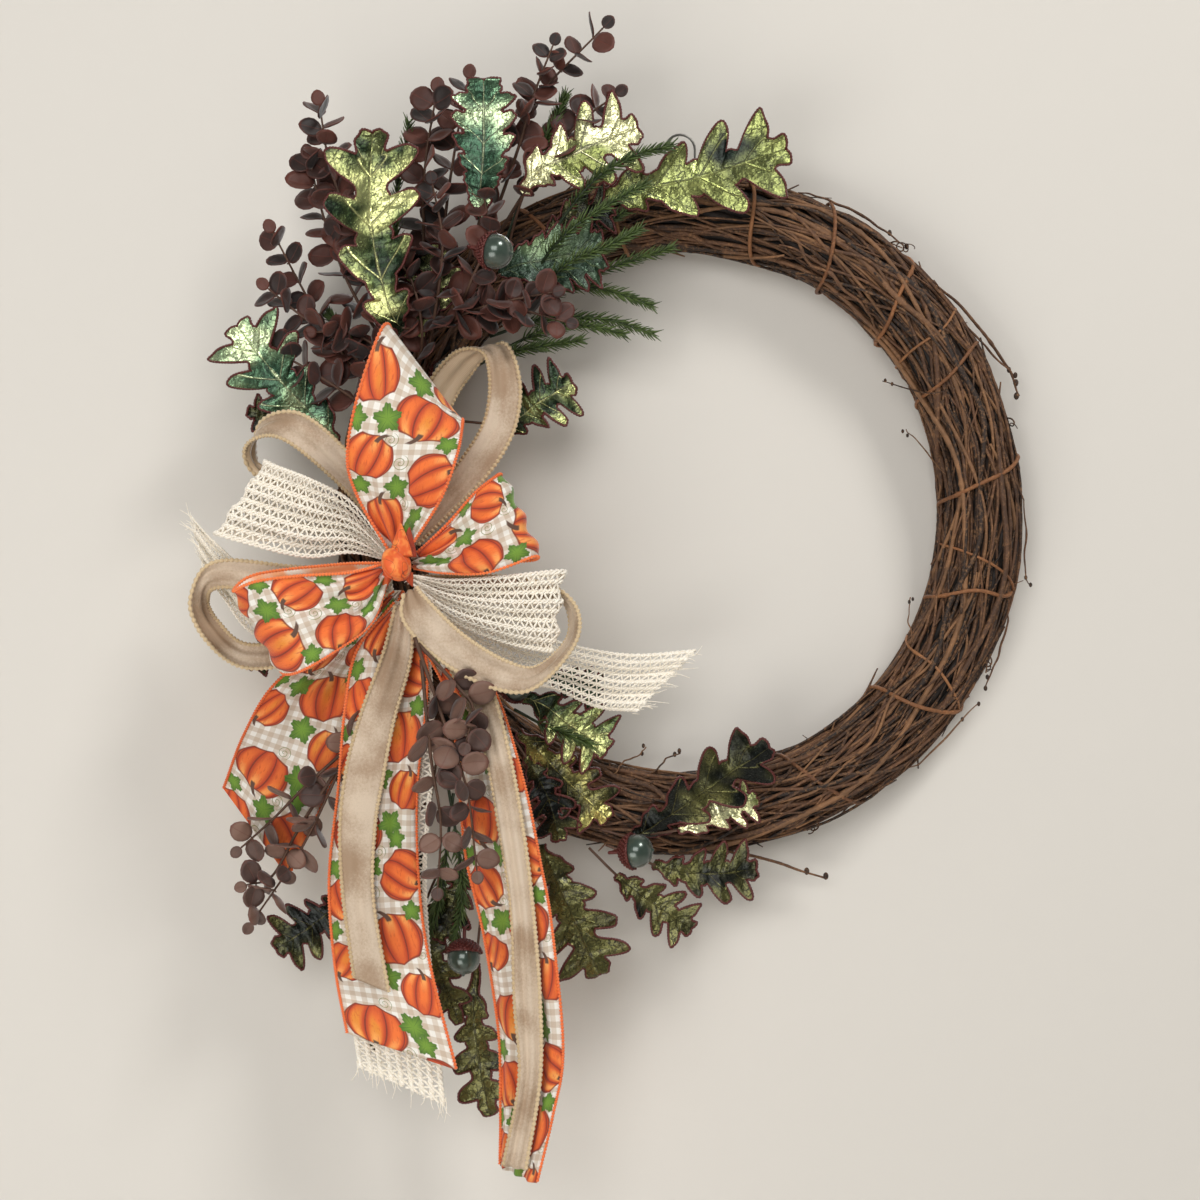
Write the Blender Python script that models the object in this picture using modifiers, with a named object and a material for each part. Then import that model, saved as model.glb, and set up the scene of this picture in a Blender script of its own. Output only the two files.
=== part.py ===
"""Harvest door wreath: a grapevine ring with a tied ribbon bow, foil oak leaves, acorns and sprigs.

Metres, +Z up. The viewer looks along +Y. The origin is the inside top of the hanging loop, where the
hook or nail bears. The ring lies in the plane y = 0 and rests on the door with its flattened back.
The arrangement (bow and foliage) is laid out in millimetres from the knot of the bow:
x to the right, z up, and h, the height in front of the vine bundle.
"""
import math

import bmesh
import bpy
from mathutils import Matrix, Vector

COLLECTION = "harvest_door_wreath"
MM = 0.001
GAP = 0.0003                  # clearance between pieces that touch

RING_DIAMETER = 0.457         # outer diameter of the grapevine ring
BUNDLE_DIAMETER = 0.053       # thickness of the vine bundle
BACK_FLAT = 0.003             # how far the bundle is flattened where it lies on the door
BINDING_DIAMETER = 0.0034     # vines wound around the bundle
STRAY_VINE_DIAMETER = 0.0022
HANGER_WIRE_DIAMETER = 0.0016
HANGER_WIRE_REACH = 52        # degrees the wire goes down each side of the bundle
LOOP_WIRE_DIAMETER = 0.0018
LOOP_HEIGHT = 0.022           # inside height of the hanging loop
LOOP_WIDTH = 0.018            # inside width of the hanging loop
KNOT_ANGLE = 191.3            # place of the bow on the ring, degrees from +X
KNOT_INSET = 0.0184           # how far the knot sits inside the bundle's centre line
KNOT_SIZE = (0.020, 0.018, 0.028)
KNOT_HEIGHT = 0.067           # centre of the knot in front of the bundle
BOW_WIRE_DIAMETER = 0.004
RIBBON_THICKNESS = 0.0008
LEAF_THICKNESS = 0.0010
STEM_WIDTH = 0.0022
NUT_DIAMETER = 0.0215
NUT_LENGTH = 0.021
CAP_WALL = 0.0016
CAP_DEPTH = 0.009
STALK_RADIUS = 0.0014
STALK_LENGTH = 0.008

PRINTED_WIDTH = 0.0635        # printed ribbon, 2.5 in
OPEN_WEAVE_WIDTH = 0.0635     # crochet-look ribbon, 2.5 in
VELVET_WIDTH = 0.022          # velvet ribbon, 7/8 in
DRAWN_WIDTH = {"printed": 0.0635, "open_weave": 0.0635, "velvet": 0.022}   # widths the stations show
SET_WIDTH = {"printed": PRINTED_WIDTH, "open_weave": OPEN_WEAVE_WIDTH, "velvet": VELVET_WIDTH}

BUNDLE_RADIUS = BUNDLE_DIAMETER / 2
RING_RADIUS = (RING_DIAMETER - BUNDLE_DIAMETER) / 2
BAR_RISE = BUNDLE_RADIUS + GAP + LOOP_WIRE_DIAMETER / 2
HINGE_Z = -LOOP_HEIGHT - LOOP_WIRE_DIAMETER / 2
RING_Z = HINGE_Z - RING_RADIUS - BAR_RISE
KNOT_RADIUS = RING_RADIUS - KNOT_INSET
KNOT_X = KNOT_RADIUS * math.cos(math.radians(KNOT_ANGLE))
KNOT_Z = RING_Z + KNOT_RADIUS * math.sin(math.radians(KNOT_ANGLE))

COLOURS = {
    "vine": ((0.080, 0.032, 0.014), 0.75, 0.0),
    "binding": ((0.170, 0.060, 0.020), 0.70, 0.0),
    "wire": ((0.30, 0.30, 0.30), 0.40, 1.0),
    "printed": ((0.80, 0.22, 0.06), 0.60, 0.0),
    "open_weave": ((0.74, 0.67, 0.54), 0.85, 0.0),
    "velvet": ((0.38, 0.26, 0.16), 0.60, 0.0),
    "oak": ((0.22, 0.30, 0.09), 0.35, 0.6),
    "eucalyptus": ((0.085, 0.032, 0.026), 0.60, 0.0),
    "pine": ((0.045, 0.105, 0.020), 0.60, 0.0),
    "acorn": ((0.13, 0.19, 0.16), 0.25, 0.1),
    "cap": ((0.070, 0.012, 0.010), 0.60, 0.1),
}


def clear_scene():
    for obj in list(bpy.data.objects):
        bpy.data.objects.remove(obj, do_unlink=True)


def make_materials():
    materials = {}
    for name, (colour, roughness, metallic) in COLOURS.items():
        material = bpy.data.materials.new(name)
        material.use_nodes = True
        shader = material.node_tree.nodes["Principled BSDF"]
        shader.inputs["Base Color"].default_value = (*colour, 1.0)
        shader.inputs["Roughness"].default_value = roughness
        shader.inputs["Metallic"].default_value = metallic
        materials[name] = material
    return materials


def laid(point):
    """World place of a point of the arrangement, given in millimetres from the knot."""
    x, z, h = point
    return Vector((KNOT_X + x * MM, -(BUNDLE_RADIUS + h * MM), KNOT_Z + z * MM))


def smooth_path(points, steps):
    """Catmull-Rom curve through the points, with a number of steps between each two."""
    ends = [points[0] * 2 - points[1]] + points + [points[-1] * 2 - points[-2]]
    path = []
    for i in range(1, len(ends) - 2):
        a, b, c, d = ends[i - 1:i + 3]
        for k in range(steps):
            t = k / steps
            path.append(0.5 * (2 * b + (c - a) * t + (2 * a - 5 * b + 4 * c - d) * t * t
                               + (3 * b - a - 3 * c + d) * t ** 3))
    path.append(points[-1])
    return path


def add_object(name, data, material, collection):
    obj = bpy.data.objects.new(name, data)
    obj.data.materials.append(material)
    collection.objects.link(obj)
    return obj


def add_sheet(name, rows, thickness, material, collection):
    """Loft a surface through rows of points and give it a thickness."""
    mesh = bpy.data.meshes.new(name)
    bm = bmesh.new()
    grid = [[bm.verts.new(point) for point in row] for row in rows]
    for lower, upper in zip(grid, grid[1:]):
        for k in range(len(lower) - 1):
            bm.faces.new((lower[k], lower[k + 1], upper[k + 1], upper[k]))
    bm.to_mesh(mesh)
    bm.free()
    obj = add_object(name, mesh, material, collection)
    solidify = obj.modifiers.new("thickness", "SOLIDIFY")
    solidify.thickness = thickness
    solidify.offset = 0.0
    return obj


def add_tube(name, points, diameter, material, collection, cyclic=False):
    curve = bpy.data.curves.new(name, "CURVE")
    curve.dimensions = "3D"
    curve.bevel_depth = diameter / 2
    curve.bevel_resolution = 1
    curve.use_fill_caps = not cyclic
    spline = curve.splines.new("POLY")
    spline.points.add(len(points) - 1)
    for control, point in zip(spline.points, points):
        control.co = (*point, 1.0)
    spline.use_cyclic_u = cyclic
    return add_object(name, curve, material, collection)


def add_ribbon(name, kind, stations, materials, collection, steps=3):
    """A ribbon, from its two edges at each station. A wider ribbon spreads about its middle."""
    spread = SET_WIDTH[kind] / DRAWN_WIDTH[kind]
    left, right = [], []
    for edge_a, edge_b in stations:
        a, b = laid(edge_a), laid(edge_b)
        middle = (a + b) / 2
        left.append(middle + (a - middle) * spread)
        right.append(middle + (b - middle) * spread)
    rows = list(zip(smooth_path(left, steps), smooth_path(right, steps)))
    return add_sheet(name, rows, RIBBON_THICKNESS, materials[kind], collection)


def oak_profile(t):
    """Half width of a lobed oak leaf, as a share of its largest half width."""
    envelope = math.sin(math.pi * min(1.0, 0.06 + 0.94 * t) ** 1.25)
    lobes = 0.5 + 0.5 * math.cos(2 * math.pi * (3.5 * t - 0.35))
    return max(0.04, envelope * (0.52 + 0.48 * lobes))


def round_leaf_profile(pairs):
    """Half width of a sprig with opposite pairs of round leaves."""
    def profile(t):
        return (1.0 - 0.35 * t) * math.sqrt(abs(math.sin(math.pi * pairs * t)))
    return profile


def needle_profile(tufts):
    """Half width of a pine sprig, with the needles swept forward."""
    def profile(t):
        return (1.0 - 0.5 * t) * (0.25 + 0.75 * ((tufts * t) % 1.0))
    return profile


def add_sprig(name, points, width, profile, samples, material, collection, roll=0.0, stem_share=0.3):
    """A leaf or sprig on its stem: a keeled strip whose half width follows the profile."""
    spine = smooth_path([laid(p) for p in points], 8)
    last = len(spine) - 1
    rows = []
    for k in range(samples + 1):
        share = k / samples
        place = share * last
        i = min(int(place), last - 1)
        centre = spine[i].lerp(spine[i + 1], place - i)
        along = (spine[i + 1] - spine[i]).normalized()
        across = along.cross(Vector((0, -1, 0))).normalized()
        across = Matrix.Rotation(math.radians(roll), 3, along) @ across
        up = across.cross(along).normalized()
        blade = (share - stem_share) / (1 - stem_share)
        half = STEM_WIDTH / 2
        if blade > 0:
            half = max(half, width / 2 * profile(blade))
        keel = up * (0.12 * half)
        rows.append((centre - across * half - keel, centre + keel, centre + across * half - keel))
    return add_sheet(name, rows, LEAF_THICKNESS, material, collection)


def make_vine_bundle(materials, collection):
    """The ring of vines as one body, flattened at the back where it lies on the door."""
    bpy.ops.mesh.primitive_torus_add(major_radius=RING_RADIUS, minor_radius=BUNDLE_RADIUS,
                                     major_segments=60, minor_segments=16)
    ring = bpy.context.active_object
    ring.name = "vine_bundle"
    ring.data.materials.append(materials["vine"])
    turn = Matrix.Translation((0, 0, RING_Z)) @ Matrix.Rotation(math.pi / 2, 4, "X")
    ring.data.transform(turn)
    for vertex in ring.data.vertices:
        vertex.co.y = min(vertex.co.y, BUNDLE_RADIUS - BACK_FLAT)
    ring.data.shade_smooth()
    ring.users_collection[0].objects.unlink(ring)
    collection.objects.link(ring)


def on_bundle(ring_angle, section_angle, lift):
    """A point around the bundle: section angle 0 is its front, 90 its outer side."""
    a, s = math.radians(ring_angle), math.radians(section_angle)
    distance = BUNDLE_RADIUS + lift
    radius = RING_RADIUS + distance * math.sin(s)
    return Vector((radius * math.cos(a), -distance * math.cos(s), RING_Z + radius * math.sin(a)))


def make_bindings(materials, collection):
    """Vines wound over the bundle, from its inner side across the front to its outer side."""
    spans = [(57, 65), (40, 49), (1, 10), (-21, -11), (-44, -33)]
    pieces, reach = 18, 108
    half_step = math.radians(reach / pieces)
    lift = (BUNDLE_RADIUS + BINDING_DIAMETER / 2 + 2 * GAP) / math.cos(half_step) - BUNDLE_RADIUS
    for number, (start, end) in enumerate(spans, 1):
        points = []
        for k in range(pieces + 1):
            share = k / pieces
            section = reach * (2 * share - 1)
            points.append(on_bundle(start + (end - start) * share, section, lift))
        add_tube(f"binding_vine_{number}", points, BINDING_DIAMETER, materials["binding"], collection)


def make_stray_vines(materials, collection):
    """Vine ends that stand off the ring."""
    lift = BINDING_DIAMETER / 2 + GAP
    ends = {
        "stray_vine_upper": [(42, 75, 0), (37, 82, 3), (30, 90, 9), (24, 96, 12)],
        "stray_vine_lower": [(-86, 60, 0), (-81, 76, 5), (-76, 86, 14), (-69, 92, 34)],
    }
    for name, stations in ends.items():
        points = [on_bundle(a, s, lift + up * MM) for a, s, up in stations]
        add_tube(name, smooth_path(points, 4), STRAY_VINE_DIAMETER, materials["binding"], collection)


def make_hanger(materials, collection):
    """A wire staple over the top of the bundle holds the bar of a free-turning hanging loop."""
    over_bar = GAP + LOOP_WIRE_DIAMETER + GAP + HANGER_WIRE_DIAMETER / 2
    at_end = GAP + HANGER_WIRE_DIAMETER / 2
    points = []
    pieces = 16
    for k in range(pieces + 1):
        share = 2 * k / pieces - 1
        tilt = math.radians(HANGER_WIRE_REACH * share)
        lift = at_end + (over_bar - at_end) * math.cos(math.pi / 2 * share) ** 2
        across = (BUNDLE_RADIUS + lift) * math.sin(tilt)
        rise = (BUNDLE_RADIUS + lift) * math.cos(tilt)
        points.append(Vector((0, across, RING_Z + RING_RADIUS + rise + GAP)))
    add_tube("hanger_wire", points, HANGER_WIRE_DIAMETER, materials["wire"], collection)

    radius = (LOOP_WIDTH + LOOP_WIRE_DIAMETER) / 2
    arch = LOOP_HEIGHT + LOOP_WIRE_DIAMETER - radius
    outline = [Vector((-radius, 0, 0)), Vector((radius, 0, 0))]
    for k in range(13):
        angle = math.pi * k / 12
        outline.append(Vector((radius * math.cos(angle), 0, arch + radius * math.sin(angle))))
    loop = add_tube("hanging_loop", outline, LOOP_WIRE_DIAMETER, materials["wire"], collection, True)
    loop.location = (0, 0, HINGE_Z)


def make_knot(materials, collection):
    """The gathered knot of printed ribbon and the wire post that holds the bow on the ring."""
    bpy.ops.mesh.primitive_uv_sphere_add(segments=16, ring_count=10, radius=0.5)
    knot = bpy.context.active_object
    knot.name = "bow_knot"
    place = Vector((KNOT_X, -(BUNDLE_RADIUS + KNOT_HEIGHT), KNOT_Z))
    knot.data.transform(Matrix.Translation(place) @ Matrix.Diagonal((*KNOT_SIZE, 1)))
    knot.data.materials.append(materials["printed"])
    knot.data.shade_smooth()
    knot.users_collection[0].objects.unlink(knot)
    collection.objects.link(knot)
    post_start = laid((0, 0, 0)) - Vector((0, BOW_WIRE_DIAMETER / 2 + GAP, 0))
    post_end = place + Vector((0, KNOT_SIZE[1] / 2 + GAP, 0))
    points = [post_start.lerp(post_end, k / 4) for k in range(5)]
    add_tube("bow_wire", points, BOW_WIRE_DIAMETER, materials["wire"], collection)


RIBBONS = {
    # name: (kind, stations), each station the two edges of the ribbon
    "printed_loop_top": ("printed", [
        ((-6, 8, 55), (5, 8, 55)), ((-25, 44, 68), (27, 39, 72)), ((-30, 66, 78), (38, 67, 78)),
        ((-23, 103, 82), (41, 85, 76)), ((-9, 147, 68), (39, 89, 62)), ((-6, 139, 50), (34, 82, 48)),
        ((-18, 80, 44), (19, 54, 46)), ((-5, 12, 44), (2, 12, 44))]),
    "printed_loop_right": ("printed", [
        ((8, 5, 50), (8, -3, 50)), ((29, 24, 62), (29, -6, 66)), ((47, 43, 70), (56, -6, 74)),
        ((63, 55, 68), (85, 4, 70)), ((63, 53, 54), (83, 2, 54)), ((34, 26, 50), (43, -1, 50)),
        ((8, 3, 47), (8, -3, 47))]),
    "printed_loop_left": ("printed", [
        ((-8, 0, 60), (-6, -8, 60)), ((-29, -6, 72), (-15, -37, 74)), ((-59, -8, 84), (-37, -55, 86)),
        ((-86, -12, 86), (-58, -67, 86)), ((-102, -18, 74), (-71, -68, 74)),
        ((-89, -7, 60), (-69, -61, 60)), ((-39, -1, 56), (-33, -29, 58)), ((-8, 0, 56), (-8, -7, 56))]),
    "open_weave_loop_left": ("open_weave", [
        ((-8, 9, 50), (-10, 2, 50)), ((-30, 40, 54), (-31, 5, 54)), ((-53, 54, 56), (-62, 2, 54)),
        ((-81, 65, 56), (-113, 15, 54)), ((-78, 64, 46), (-109, 15, 46)),
        ((-37, 38, 47), (-44, 8, 48)), ((-9, 8, 47), (-11, 3, 47))]),
    "open_weave_loop_right": ("open_weave", [
        ((8, -7, 56), (8, -14, 56)), ((32, -9, 60), (33, -37, 62)), ((67, -6, 64), (67, -52, 64)),
        ((101, -2, 58), (96, -58, 58)), ((91, -5, 48), (88, -53, 48)), ((37, -9, 46), (37, -33, 46)),
        ((8, -7, 43), (8, -14, 43))]),
    "velvet_loop_right": ("velvet", [
        ((4, -19, 68), (12, -15, 68)), ((5, -37, 72), (19, -23, 74)), ((27, -60, 78), (41, -44, 80)),
        ((59, -77, 80), (67, -60, 82)), ((86, -77, 86), (87, -65, 70)),
        ((112, -48, 70), (106, -46, 50)), ((108, -23, 54), (101, -23, 38)),
        ((75, -9, 36), (75, -26, 34)), ((9, -8, 34), (7, -17, 34))]),
    "velvet_loop_left": ("velvet", [
        ((-9, -4, 42), (-9, -10, 42)), ((-66, -2, 42), (-66, -20, 42)), ((-118, 1, 46), (-114, -15, 46)),
        ((-134, -23, 48), (-127, -23, 30)), ((-126, -49, 38), (-120, -37, 30)),
        ((-98, -67, 34), (-97, -52, 32)), ((-47, -55, 32), (-47, -40, 32)), ((-9, -18, 34), (-9, -11, 34))]),
    "velvet_loop_upper_left": ("velvet", [
        ((-8, 12, 38), (-2, 14, 38)), ((-28, 38, 38), (-18, 48, 38)), ((-50, 60, 38), (-37, 74, 40)),
        ((-75, 79, 40), (-66, 96, 38)), ((-92, 80, 40), (-92, 91, 24)), ((-101, 71, 34), (-96, 68, 16)),
        ((-93, 55, 22), (-85, 61, 20)), ((-56, 29, 24), (-49, 37, 24)), ((-10, 6, 26), (-7, 12, 26))]),
    "velvet_loop_upper_right": ("velvet", [
        ((3, 14, 32), (9, 12, 32)), ((17, 41, 36), (31, 33, 36)), ((38, 66, 42), (56, 58, 44)),
        ((53, 91, 44), (72, 86, 46)), ((56, 118, 42), (75, 117, 40)), ((50, 136, 38), (64, 142, 28)),
        ((30, 133, 33), (43, 123, 22)), ((11, 100, 28), (26, 91, 23)), ((1, 14, 20), (7, 13, 20))]),
    "printed_tail_left": ("printed", [
        ((-7, -17, 18), (-1, -17, 18)), ((-49, -49, 18), (-22, -55, 18)), ((-85, -78, 20), (-35, -88, 16)),
        ((-104, -110, 22), (-44, -132, 16)), ((-117, -145, 24), (-77, -204, 14))]),
    "printed_tail_middle": ("printed", [
        ((-4, -24, 44), (5, -24, 44)), ((-28, -55, 44), (15, -55, 44)), ((-36, -93, 44), (16, -87, 44)),
        ((-40, -144, 46), (10, -144, 44)), ((-46, -201, 44), (11, -201, 46)),
        ((-43, -252, 44), (18, -252, 46)), ((-34, -298, 46), (35, -322, 44))]),
    "velvet_tail_middle": ("velvet", [
        ((-3, -26, 52), (6, -26, 52)), ((-10, -55, 52), (7, -58, 52)), ((-25, -96, 52), (-4, -100, 52)),
        ((-34, -130, 52), (-11, -137, 52)), ((-38, -168, 52), (-16, -168, 52)),
        ((-36, -212, 52), (-17, -212, 52)), ((-29, -262, 52), (-7, -271, 52))]),
    "open_weave_tail_middle": ("open_weave", [
        ((-3, -25, 37), (4, -25, 37)), ((-18, -55, 37), (18, -55, 37)), ((-33, -119, 37), (22, -119, 37)),
        ((-37, -196, 37), (17, -196, 37)), ((-37, -266, 37), (21, -266, 37)),
        ((-30, -321, 37), (29, -347, 37))]),
    "printed_tail_right": ("printed", [
        ((4, -28, 58), (10, -27, 58)), ((16, -54, 54), (41, -53, 55)), ((31, -89, 50), (63, -86, 62)),
        ((37, -144, 46), (78, -136, 64)), ((41, -188, 46), (88, -186, 64)),
        ((52, -239, 46), (96, -229, 64)), ((61, -296, 46), (102, -304, 64)),
        ((62, -346, 50), (96, -345, 64)), ((62, -380, 54), (86, -388, 64))]),
    "velvet_tail_right": ("velvet", [
        ((6, -31, 66), (13, -28, 66)), ((27, -56, 68), (43, -51, 68)), ((42, -85, 70), (60, -82, 70)),
        ((55, -119, 70), (71, -124, 70)), ((64, -169, 70), (79, -169, 70)),
        ((71, -216, 70), (85, -219, 70)), ((73, -272, 70), (89, -272, 70)),
        ((76, -321, 70), (89, -321, 70)), ((66, -375, 70), (80, -378, 70))]),
    "open_weave_tail_right": ("open_weave", [
        ((9, -13, 24), (8, -20, 24)), ((35, -23, 22), (32, -55, 22)), ((74, -39, 20), (64, -81, 20)),
        ((108, -51, 20), (92, -81, 20)), ((148, -57, 20), (123, -94, 20)),
        ((190, -54, 20), (149, -97, 20))]),
    "open_weave_tail_left": ("open_weave", [
        ((-8, -9, 26), (-7, -17, 26)), ((-48, -17, 24), (-45, -46, 24)), ((-94, -7, 22), (-93, -49, 22)),
        ((-124, 16, 20), (-117, -23, 20)), ((-138, 31, 20), (-131, -2, 20))]),
}

OAK_LEAVES = {
    # name: (stem start, leaf base, middle, tip), width in millimetres, roll in degrees
    "oak_leaf_01": ([(23, 165, 2), (-2, 152, 44), (-17, 209, 58), (-17, 271, 56)], 62, 12),
    "oak_leaf_02": ([(51, 180, 2), (50, 226, 46), (53, 262, 56), (53, 304, 58)], 40, 0),
    "oak_leaf_03": ([(61, 190, 2), (81, 244, 34), (112, 262, 42), (150, 277, 44)], 52, 0),
    "oak_leaf_04": ([(112, 228, 2), (134, 240, 16), (188, 250, 22), (246, 268, 24)], 58, -6),
    "oak_leaf_05": ([(42, 170, 2), (65, 190, 22), (95, 197, 26), (126, 202, 26)], 46, 0),
    "oak_leaf_06": ([(-34, 52, 2), (-50, 84, 10), (-80, 118, 20), (-107, 153, 30)], 54, 0),
    "oak_leaf_07": ([(-6, 100, 2), (61, 92, 12), (86, 105, 16), (108, 118, 18)], 40, 0),
    "oak_leaf_08": ([(20, -75, 2), (81, -88, 10), (106, -104, 14), (131, -120, 16)], 46, 0),
    "oak_leaf_09": ([(41, -90, 2), (77, -114, 5), (104, -141, 6), (131, -166, 8)], 40, 0),
    "oak_leaf_10": ([(61, -147, 2), (90, -190, 8), (108, -228, 12), (126, -267, 12)], 50, 0),
    "oak_leaf_11": ([(126, -174, 2), (152, -176, 8), (192, -148, 22), (235, -118, 28)], 44, -15),
    "oak_leaf_12": ([(130, -184, 2), (166, -198, 5), (196, -202, 9), (228, -199, 12)], 38, 0),
    "oak_leaf_13": ([(119, -186, 2), (140, -206, 6), (162, -222, 8), (186, -238, 9)], 34, 0),
    "oak_leaf_14": ([(14, -154, 2), (-40, -216, 3), (-62, -236, 4), (-86, -252, 5)], 42, 0),
    "oak_leaf_15": ([(56, -154, 2), (44, -275, 4), (46, -318, 6), (54, -361, 6)], 36, 0),
}

EUCALYPTUS = {
    # name: (points of the stem), leaf spread in millimetres, pairs of leaves, stem share
    "eucalyptus_sprig_1": ([(39, 197, 2), (60, 258, 22), (86, 300, 30), (128, 342, 38)], 34, 8, 0.42),
    "eucalyptus_sprig_2": ([(3, 152, 2), (-24, 196, 18), (-46, 250, 26), (-54, 294, 30)], 40, 8, 0.25),
    "eucalyptus_sprig_3": ([(-14, 107, 2), (-36, 130, 12), (-62, 170, 14), (-86, 215, 16)], 40, 7, 0.25),
    "eucalyptus_sprig_4": ([(12, 151, 2), (12, 190, 16), (14, 250, 36), (22, 299, 42)], 40, 7, 0.40),
    "eucalyptus_sprig_5": ([(9, 143, 2), (36, 158, 36), (62, 166, 42), (95, 172, 46)], 36, 5, 0.25),
    "eucalyptus_sprig_6": ([(-8, -58, 30), (-34, -116, 31), (-64, -180, 31), (-97, -230, 31)], 38, 7, 0.25),
    "eucalyptus_sprig_7": ([(12, -46, 84), (30, -98, 84), (44, -140, 82), (50, -190, 80)], 36, 5, 0.25),
}

PINE = {
    # name: (points of the stem), spread of the needles in millimetres, number of tufts
    "pine_sprig_1": ([(74, 191, 2), (104, 209, 8), (140, 229, 10), (172, 254, 8)], 22, 10),
    "pine_sprig_2": ([(67, 172, 2), (100, 182, 12), (140, 196, 12), (173, 206, 14)], 22, 10),
    "pine_sprig_3": ([(54, 150, 2), (90, 160, 12), (128, 160, 12), (161, 150, 14)], 22, 10),
}

ACORNS = {
    # name: (centre of the nut), direction from cap to tip
    "acorn_1": ((62, 192, 80), (0.8, -0.35, -0.2)),
    "acorn_2": ((150, -185, 26), (0.9, -0.35, 0.1)),
    "acorn_3": ((38, -255, 20), (0.0, -0.35, -0.9)),
}


def make_foliage(materials, collection):
    for name, (points, width, roll) in OAK_LEAVES.items():
        add_sprig(name, points, width * MM, oak_profile, 20, materials["oak"], collection, roll, 0.28)
    for name, (points, width, pairs, share) in EUCALYPTUS.items():
        add_sprig(name, points, width * MM, round_leaf_profile(pairs), pairs * 4,
                  materials["eucalyptus"], collection, 0.0, share)
    for name, (points, width, tufts) in PINE.items():
        add_sprig(name, points, width * MM, needle_profile(tufts), tufts * 3,
                  materials["pine"], collection, 0.0, 0.1)


def acorn_turn(centre, direction):
    axis = Vector(direction).normalized()
    return Matrix.Translation(laid(centre)) @ axis.to_track_quat("Z", "X").to_matrix().to_4x4()


def make_acorns(materials, collection):
    """Each acorn is a nut that sits in a separate turned cap with a short stalk."""
    for name, (centre, direction) in ACORNS.items():
        place = acorn_turn(centre, direction)
        bpy.ops.mesh.primitive_uv_sphere_add(segments=14, ring_count=9, radius=0.5)
        nut = bpy.context.active_object
        nut.name = name + "_nut"
        nut.data.transform(place @ Matrix.Diagonal((NUT_DIAMETER, NUT_DIAMETER, NUT_LENGTH, 1)))
        nut.data.materials.append(materials["acorn"])
        nut.data.shade_smooth()
        nut.users_collection[0].objects.unlink(nut)
        collection.objects.link(nut)
        add_cap(name + "_cap", place, materials, collection)


def add_cap(name, place, materials, collection):
    """A turned cup around the nut's near half, with a stalk on its crown."""
    inner_radius, inner_length = NUT_DIAMETER / 2 + GAP, NUT_LENGTH / 2 + GAP
    outer_radius, outer_length = inner_radius + CAP_WALL, inner_length + CAP_WALL
    lip = -(inner_length - CAP_DEPTH)
    turn_in = math.acos(-lip / inner_length)
    turn_out = math.acos(-lip / outer_length)
    stalk_turn = math.asin(STALK_RADIUS / outer_radius)
    profile = [Vector((0, 0, -inner_length))]
    for k in range(1, 6):
        angle = turn_in * k / 5
        profile.append(Vector((inner_radius * math.sin(angle), 0, -inner_length * math.cos(angle))))
    for k in range(6):
        angle = turn_out + (stalk_turn - turn_out) * k / 5
        profile.append(Vector((outer_radius * math.sin(angle), 0, -outer_length * math.cos(angle))))
    profile.append(Vector((STALK_RADIUS, 0, -outer_length - STALK_LENGTH)))
    profile.append(Vector((0, 0, -outer_length - STALK_LENGTH)))
    mesh = bpy.data.meshes.new(name)
    bm = bmesh.new()
    verts = [bm.verts.new(point) for point in profile]
    for a, b in zip(verts, verts[1:]):
        bm.edges.new((a, b))
    bm.to_mesh(mesh)
    bm.free()
    cap = add_object(name, mesh, materials["cap"], collection)
    cap.matrix_world = place
    screw = cap.modifiers.new("turned", "SCREW")
    screw.steps = screw.render_steps = 14
    screw.use_merge_vertices = True
    screw.merge_threshold = 0.00001


def main():
    clear_scene()
    collection = bpy.data.collections.new(COLLECTION)
    bpy.context.scene.collection.children.link(collection)
    materials = make_materials()
    make_vine_bundle(materials, collection)
    make_bindings(materials, collection)
    make_stray_vines(materials, collection)
    make_hanger(materials, collection)
    make_knot(materials, collection)
    for name, (kind, stations) in RIBBONS.items():
        add_ribbon(name, kind, stations, materials, collection)
    make_foliage(materials, collection)
    make_acorns(materials, collection)


main()
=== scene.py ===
import math

import bpy
import numpy as np
from mathutils import Euler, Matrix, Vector, noise


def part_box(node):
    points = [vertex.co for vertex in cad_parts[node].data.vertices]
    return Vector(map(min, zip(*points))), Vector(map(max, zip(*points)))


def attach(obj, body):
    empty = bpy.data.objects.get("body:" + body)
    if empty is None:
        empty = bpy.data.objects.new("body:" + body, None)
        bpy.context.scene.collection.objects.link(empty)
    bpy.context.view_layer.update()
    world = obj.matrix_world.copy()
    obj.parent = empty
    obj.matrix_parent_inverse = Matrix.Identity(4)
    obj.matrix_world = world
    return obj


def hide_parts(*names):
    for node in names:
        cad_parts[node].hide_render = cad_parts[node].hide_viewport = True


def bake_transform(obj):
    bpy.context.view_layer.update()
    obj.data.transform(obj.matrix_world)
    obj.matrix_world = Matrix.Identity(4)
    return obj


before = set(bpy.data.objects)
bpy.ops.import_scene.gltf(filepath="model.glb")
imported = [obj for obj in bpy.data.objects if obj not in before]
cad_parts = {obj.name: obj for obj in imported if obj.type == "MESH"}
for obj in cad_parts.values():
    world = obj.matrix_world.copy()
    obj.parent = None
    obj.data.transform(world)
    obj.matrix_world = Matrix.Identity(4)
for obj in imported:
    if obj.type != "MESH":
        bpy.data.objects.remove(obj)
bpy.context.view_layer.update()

MM = 0.001

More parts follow.
